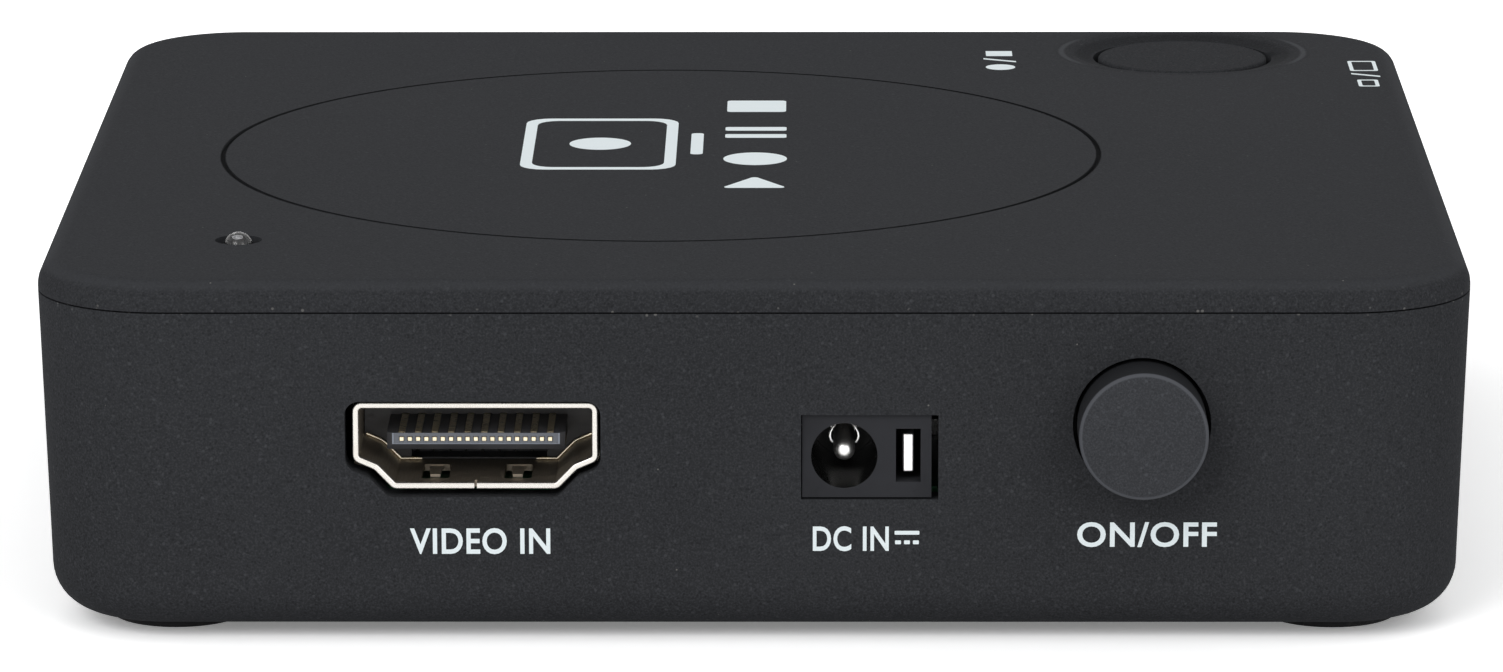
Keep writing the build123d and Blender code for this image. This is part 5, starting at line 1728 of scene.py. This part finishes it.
@dataclass
class Electronics:
    """The board, its screws and what is soldered to it."""

    centre_y: float = 1.55 * MM
    screw_x: float = 34.5 * MM
    screw_y: float = 18.9927 * MM
    component_half: Flat = (0.4 * MM, 0.8 * MM)
    component_height: float = 0.8 * MM
    component_pitch: float = 2.2 * MM

    def build(self, finishes: Finishes) -> None:
        """Builds the screws and the chip components, and dresses the board's other pieces."""
        f = finishes
        screw = pan_screw("board_screw", 0.9 * MM, 5.0 * MM, 1.8 * MM, 1.2 * MM, up=False)
        screws = rows(
            "board_screws_look", screw, (2, 2), (2 * self.screw_x, 2 * self.screw_y),
            (0.0, self.centre_y, BOARD_TOP), f.zinc,
        )
        fit(soften(screws, 0.0), Body.HOUSING, "screw_steel", "board_screws")
        for node, width, finish, slot in (
            ("main_board", 0.0, f.board, "board_laminate"),
            ("processor", 0.1, f.chip, "chip_plastic"),
            ("thermal_pad", 0.1, f.pad, "pad_silicone"),
            ("heat_sink", 0.12, f.sink, "sink_aluminium"),
            ("memory_chips", 0.05, f.chip, "chip_plastic"),
            ("receiver_chip", 0.05, f.chip, "chip_plastic"),
            ("receiver_chip_leads", 0.0, f.tin, "tin_plate"),
            ("transmitter_chip", 0.05, f.chip, "chip_plastic"),
            ("transmitter_chip_leads", 0.0, f.tin, "tin_plate"),
            ("flash_chip", 0.05, f.chip, "chip_plastic"),
            ("capacitors", 0.15, f.can, "can_aluminium"),
            ("inductors", 0.15, f.chip, "chip_plastic"),
            ("clock_crystal", 0.25, f.steel, "plated_steel"),
        ):
            refined(node, width * MM, finish, slot)
        lo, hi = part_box("chip_components")
        half, high, pitch = self.component_half, self.component_height, self.component_pitch
        chip = box_body("chip", (-half[0], -half[1], 0.0), (half[0], half[1], high), 0.07 * MM)
        middle = (lo + hi) / 2
        chips = rows(
            "chip_components_look", chip, (6, 3), (pitch, pitch), (middle.x, middle.y, lo.z), f.ceramic
        )
        fit(soften(chips, 0.0), Body.HOUSING, "component_ceramic", "chip_components")


class Side(Enum):
    """The faces that carry print."""

    FRONT = "front"
    TOP = "top"


@dataclass
class Print:
    """White screen print: plain words and signs, pressed onto the covers."""

    front_y: float = -40.75 * MM
    seam_z: float = 20.7 * MM
    draft: float = math.radians(2.0)
    top_z: float = 22.6 * MM
    thick: float = 0.012 * MM
    stroke: float = 0.4 * MM
    letter_weight: float = 0.018
    letter_spacing: float = 1.06

    def plane(self, side: Side) -> Matrix:
        """The frame of a printed face: first axis along the words, second up the letters, third outwards.

        Args:
            side: the face.

        Returns:
            A matrix from the face's own coordinates to the shared frame.
        """
        if side is Side.TOP:
            axes = ((0.0, 1.0, 0.0), (-1.0, 0.0, 0.0), (0.0, 0.0, 1.0))
            origin = (0.0, 0.0, self.top_z)
        else:
            c, s = math.cos(self.draft), math.sin(self.draft)
            axes = ((1.0, 0.0, 0.0), (0.0, -s, c), (0.0, -c, -s))
            origin = (0.0, self.front_y + self.seam_z * math.tan(self.draft), 0.0)
        matrix = Matrix.Identity(4)
        for column, axis in enumerate(axes):
            for row in range(3):
                matrix[row][column] = axis[row]
        matrix.translation = origin
        return matrix

    def words(self, name: str, text: str, low: Flat, high: Flat) -> bpy.types.Object:
        """Words stretched to a box on the face.

        Args:
            name: the piece's name.
            text: the words.
            low: the box's lower corner.
            high: its upper corner.

        Returns:
            A flat mesh in the face's own coordinates.
        """
        curve = bpy.data.curves.new(name, "FONT")
        curve.body, curve.resolution_u, curve.fill_mode, curve.extrude = text, 5, "BOTH", 0.01
        curve.offset, curve.space_character = self.letter_weight, self.letter_spacing
        source = bpy.data.objects.new(name, curve)
        bpy.context.scene.collection.objects.link(source)
        graph = bpy.context.evaluated_depsgraph_get()
        mesh = bpy.data.meshes.new_from_object(source.evaluated_get(graph))
        removed([source])
        points = np.empty(len(mesh.vertices) * 3)
        mesh.vertices.foreach_get("co", points)
        points = points.reshape(-1, 3)
        lo, hi = points.min(0), points.max(0)
        target_lo = np.array([low[0], low[1], -self.thick])
        target_hi = np.array([high[0], high[1], self.thick])
        points = target_lo + (points - lo) * (target_hi - target_lo) / (hi - lo)
        mesh.vertices.foreach_set("co", points.ravel())
        mesh.update()
        obj = bpy.data.objects.new(name, mesh)
        bpy.context.scene.collection.objects.link(obj)
        return obj

    def sign(self, name: str, outline: Sequence[Flat], hole: float = 0.0) -> bpy.types.Object:
        """A flat sign from an outline, with an even border if hole is given.

        Args:
            name: the piece's name.
            outline: its outline about its own middle.
            hole: the border's width; 0 fills the sign.

        Returns:
            A flat mesh in the face's own coordinates.
        """
        t = self.thick
        if hole <= 0:
            return loft(name, [[(x, y, z) for x, y in outline] for z in (-t, t)])
        middle = Vector((sum(p[0] for p in outline), sum(p[1] for p in outline))) / len(outline)
        spread = max(abs(p[0] - middle.x) for p in outline), max(abs(p[1] - middle.y) for p in outline)
        keep_x, keep_y = 1 - hole / spread[0], 1 - hole / spread[1]
        inner = [(middle.x + (x - middle.x) * keep_x, middle.y + (y - middle.y) * keep_y) for x, y in outline]
        lines = (outline, -t), (outline, t), (inner, t), (inner, -t)
        return loft(name, [[(x, y, z) for x, y in line] for line, z in lines], closed=True)

    def dot(self, name: str, x: float, y: float, radius: float, hole: float = 0.0) -> bpy.types.Object:
        """A round sign."""
        circle = ring(radius, 40, lambda a, b: (a, b, 0.0))
        return self.sign(name, [(x + u, y + v) for u, v, _ in circle], hole)

    def slash(self, name: str, x: float, y: float, width: float, height: float) -> bpy.types.Object:
        """A leaning stroke.

        Args:
            name: the piece's name.
            x: its lower left corner.
            y: its lower edge.
            width: how far it leans.
            height: its height.

        Returns:
            A flat mesh in the face's own coordinates.
        """
        thick = self.stroke
        foot, head = [(x, y), (x + thick, y)], [(x + width + thick, y + height), (x + width, y + height)]
        return self.sign(name, foot + head)

    def panel(
        self, name: str, x: float, y: float, width: float, height: float, corner: float, hole: float = 0.0
    ) -> bpy.types.Object:
        """A rounded rectangular sign.

        Args:
            name: the piece's name.
            x: its middle.
            y: its middle.
            width: its width.
            height: its height.
            corner: its corner radius.
            hole: the border's width; 0 fills the sign.

        Returns:
            A flat mesh in the face's own coordinates.
        """
        w, h = width / 2, height / 2
        corners = [(x - w, y - h), (x + w, y - h), (x + w, y + h), (x - w, y + h)]
        return self.sign(name, rounded(corners, [corner] * 4, 5), hole)

    def printed(
        self, name: str, parts: Sequence[bpy.types.Object], side: Side, ink: bpy.types.Material
    ) -> None:
        """Puts one group of print on its face.

        Args:
            name: the piece's name.
            parts: flat meshes in the face's own coordinates.
            side: the face.
            ink: the finish.
        """
        group = moved(join(name, parts), self.plane(side))
        fit(dress(group, ink), Body.HOUSING, "cover_plastic")

    def front_print(self, ink: bpy.types.Material) -> None:
        """Prints the words under the front's sockets and button.

        Args:
            ink: the finish.
        """
        up = MM / math.cos(self.draft)
        video = self.words("video_in_words", "VIDEO IN", (-20.8 * MM, 5.70 * up), (-12.3 * MM, 7.34 * up))
        self.printed("print_video_in", [video], Side.FRONT, ink)
        power = [
            self.words("power_in_words", "DC IN", (3.6 * MM, 5.89 * up), (8.2 * MM, 7.46 * up)),
            self.panel("power_line", 9.3 * MM, 7.05 * up, 1.5 * MM, 0.24 * MM, 0.05 * MM),
        ]
        for i in range(3):
            x = (8.76 + 0.54 * i) * MM
            power.append(self.panel(f"power_dash_{i}", x, 6.45 * up, 0.36 * MM, 0.24 * MM, 0.05 * MM))
        self.printed("print_power_in", power, Side.FRONT, ink)
        switch = self.words("on_off_words", "ON/OFF", (19.6 * MM, 6.15 * up), (28.05 * MM, 7.72 * up))
        self.printed("print_on_off", [switch], Side.FRONT, ink)

    def button_print(self, ink: bpy.types.Material) -> None:
        """Prints the signs on both sides of the record button.

        Args:
            ink: the finish.
        """
        row_y, side_y, border = -16.4 * MM, -41.05 * MM, 0.26 * MM
        self.printed("print_record_stop", [
            self.dot("record_dot", 29.2 * MM, row_y, 1.0 * MM),
            self.slash("slash", 31.0 * MM, -17.5 * MM, 1.1 * MM, 2.2 * MM),
            self.panel("stop_square", 34.2 * MM, row_y, 1.8 * MM, 1.8 * MM, 0.08 * MM),
        ], Side.TOP, ink)
        self.printed("print_picture_size", [
            self.panel("small_picture", 23.4 * MM, side_y, 2.4 * MM, 1.4 * MM, 0.2 * MM, border),
            self.slash("size_slash", 25.6 * MM, -42.0 * MM, 1.0 * MM, 1.9 * MM),
            self.panel("large_picture", 29.6 * MM, side_y, 3.6 * MM, 1.9 * MM, 0.2 * MM, border),
        ], Side.TOP, ink)

    def lid_print(self, ink: bpy.types.Material) -> None:
        """Prints the screen sign and the row of transport signs in the ring.

        Args:
            ink: the finish.
        """
        screen_x, screen_y, row_y = 2.4 * MM, 10.2 * MM, 0.1 * MM
        self.printed("print_screen_sign", [
            self.panel("screen_frame", screen_x, screen_y, 17.0 * MM, 10.0 * MM, 1.6 * MM, 0.75 * MM),
            self.panel("screen_foot", screen_x, 3.9 * MM, 7.0 * MM, 0.8 * MM, 0.3 * MM),
            self.dot("screen_dot", screen_x, screen_y, 2.0 * MM),
        ], Side.TOP, ink)
        arrow = [(-12.0 * MM, row_y - 2.1 * MM), (-8.4 * MM, row_y), (-12.0 * MM, row_y + 2.1 * MM)]
        self.printed("print_transport_signs", [
            self.sign("play_sign", rounded(arrow, [0.25 * MM] * 3, 3)),
            self.dot("record_sign", -2.6 * MM, row_y, 2.05 * MM),
            self.panel("pause_left", 5.0 * MM, row_y, 1.2 * MM, 4.0 * MM, 0.2 * MM),
            self.panel("pause_right", 7.4 * MM, row_y, 1.2 * MM, 4.0 * MM, 0.2 * MM),
            self.panel("stop_sign", 15.2 * MM, row_y, 3.9 * MM, 3.9 * MM, 0.3 * MM),
        ], Side.TOP, ink)

    def build(self, finishes: Finishes) -> None:
        """Prints the words and signs."""
        self.front_print(finishes.ink)
        self.button_print(finishes.ink)
        self.lid_print(finishes.ink)


@dataclass
class Studio:
    """The floor, the lamps, the world and the camera."""

    eye: Point = (0.0033534, -0.5453402, 0.1310296)
    down: float = 12.4795
    yaw: float = 0.3911
    roll: float = -0.0863
    lens: float = 205.706
    floor_half: float = 4.0
    glow: float = 0.2
    lift: float = 0.6
    world: float = 0.60

    def camera(self) -> None:
        """Sets the camera at the photograph's angle."""
        data = bpy.data.cameras.new("camera")
        data.lens, data.sensor_width, data.sensor_fit = self.lens, 36.0, "HORIZONTAL"
        data.clip_start, data.clip_end = 0.01, 20.0
        obj = bpy.data.objects.new("camera", data)
        turn = Matrix.Rotation(math.radians(self.yaw), 4, "Z")
        turn = turn @ Matrix.Rotation(math.radians(90 - self.down), 4, "X")
        turn = turn @ Matrix.Rotation(math.radians(self.roll), 4, "Z")
        obj.matrix_world = Matrix.Translation(self.eye) @ turn
        bpy.context.scene.collection.objects.link(obj)
        bpy.context.scene.camera = obj

    def floor(self) -> None:
        """Lays a pale floor that the camera sees as white where nothing shades it."""
        h = self.floor_half
        obj = mesh_object("floor", [(-h, -h, 0), (h, -h, 0), (h, h, 0), (-h, h, 0)], [(0, 1, 2, 3)])
        paint = Paint("floor_paper")
        fibre = paint.noise(2 * MM, 3.0)
        base = paint.blend(fibre.ramp(0.3, 0.7), (0.88, 0.88, 0.885), (0.90, 0.90, 0.905))
        shader = paint.node(
            "ShaderNodeBsdfPrincipled", None,
            {"Base Color": base, "Roughness": 0.9, "Specular IOR Level": 0.1},
        )
        glow = paint.node("ShaderNodeEmission", None, {"Color": (1.0, 1.0, 1.0), "Strength": self.glow})
        lift = paint.node("ShaderNodeBsdfDiffuse", None, {"Color": (self.lift, self.lift, self.lift)})
        shown = paint.node("ShaderNodeAddShader", None, {0: glow.outputs[0], 1: lift.outputs[0]})
        dark = paint.node("ShaderNodeEmission", None, {"Strength": 0.0})
        extra = paint.node(
            "ShaderNodeMixShader", None, {0: paint.seen(), 1: dark.outputs[0], 2: shown.outputs[0]}
        )
        both = paint.node("ShaderNodeAddShader", None, {0: shader.outputs[0], 1: extra.outputs[0]})
        paint.node("ShaderNodeOutputMaterial", None, {"Surface": both.outputs[0]})
        dress(obj, paint.material)

    def lamp(self, name: str, place: Point, size: float, power: float) -> None:
        """Hangs a soft lamp that faces the object.

        Args:
            name: the lamp's name.
            place: where it hangs.
            size: its width.
            power: its power in watts.
        """
        data = bpy.data.lights.new(name, "AREA")
        data.shape, data.size, data.energy = "DISK", size, power
        obj = bpy.data.objects.new(name, data)
        aim = (Vector((0.0, 0.0, 0.01)) - Vector(place)).to_track_quat("-Z", "Y")
        obj.matrix_world = Matrix.Translation(place) @ aim.to_matrix().to_4x4()
        bpy.context.scene.collection.objects.link(obj)

    def surroundings(self) -> None:
        """Lights the scene evenly, and shows white to the camera, in reflections and through glass."""
        world = bpy.data.worlds.new("studio")
        world.use_nodes = True
        sky = Nodes(world.node_tree)
        shade, white = [
            sky.node("ShaderNodeBackground", None, {"Color": (1.0, 1.0, 1.0), "Strength": strength}).outputs[0]
            for strength in (self.world, 1.0)
        ]
        mixed = sky.node("ShaderNodeMixShader", None, {0: sky.seen(), 1: shade, 2: white})
        sky.node("ShaderNodeOutputWorld", None, {"Surface": mixed.outputs[0]})
        bpy.context.scene.world = world

    def build(self) -> None:
        """Sets up the whole studio."""
        bpy.context.scene.view_settings.view_transform = "Standard"
        self.camera()
        self.floor()
        self.surroundings()
        self.lamp("key", (-0.75, -1.25, 0.95), 1.0, 9.0)
        self.lamp("fill", (0.95, -1.2, 0.7), 1.1, 4.5)


def main() -> None:
    """Builds the studio and the object, piece by piece."""
    logging.basicConfig(level=logging.INFO, format="%(message)s")
    Studio().build()
    finishes = Finishes.mixed()
    Housing().build(finishes)
    front = Matrix.Translation((-16.8 * MM, -40.1105 * MM, BOARD_TOP))
    back = Matrix.Translation((16.8558 * MM, 43.2105 * MM, BOARD_TOP)) @ Matrix.Rotation(math.pi, 4, "Z")
    VideoSocket("video_in", front).build(finishes, finishes.front_shell, finishes.front_block)
    VideoSocket("video_out", back).build(finishes, finishes.steel, finishes.back_block)
    PowerJack().build(finishes)
    BackSockets().build(finishes)
    PowerButton().build(finishes)
    RecordButton().build(finishes)
    StatusLight().build(finishes)
    Electronics().build(finishes)
    Print().build(finishes)


if __name__ == "__main__":
    main()
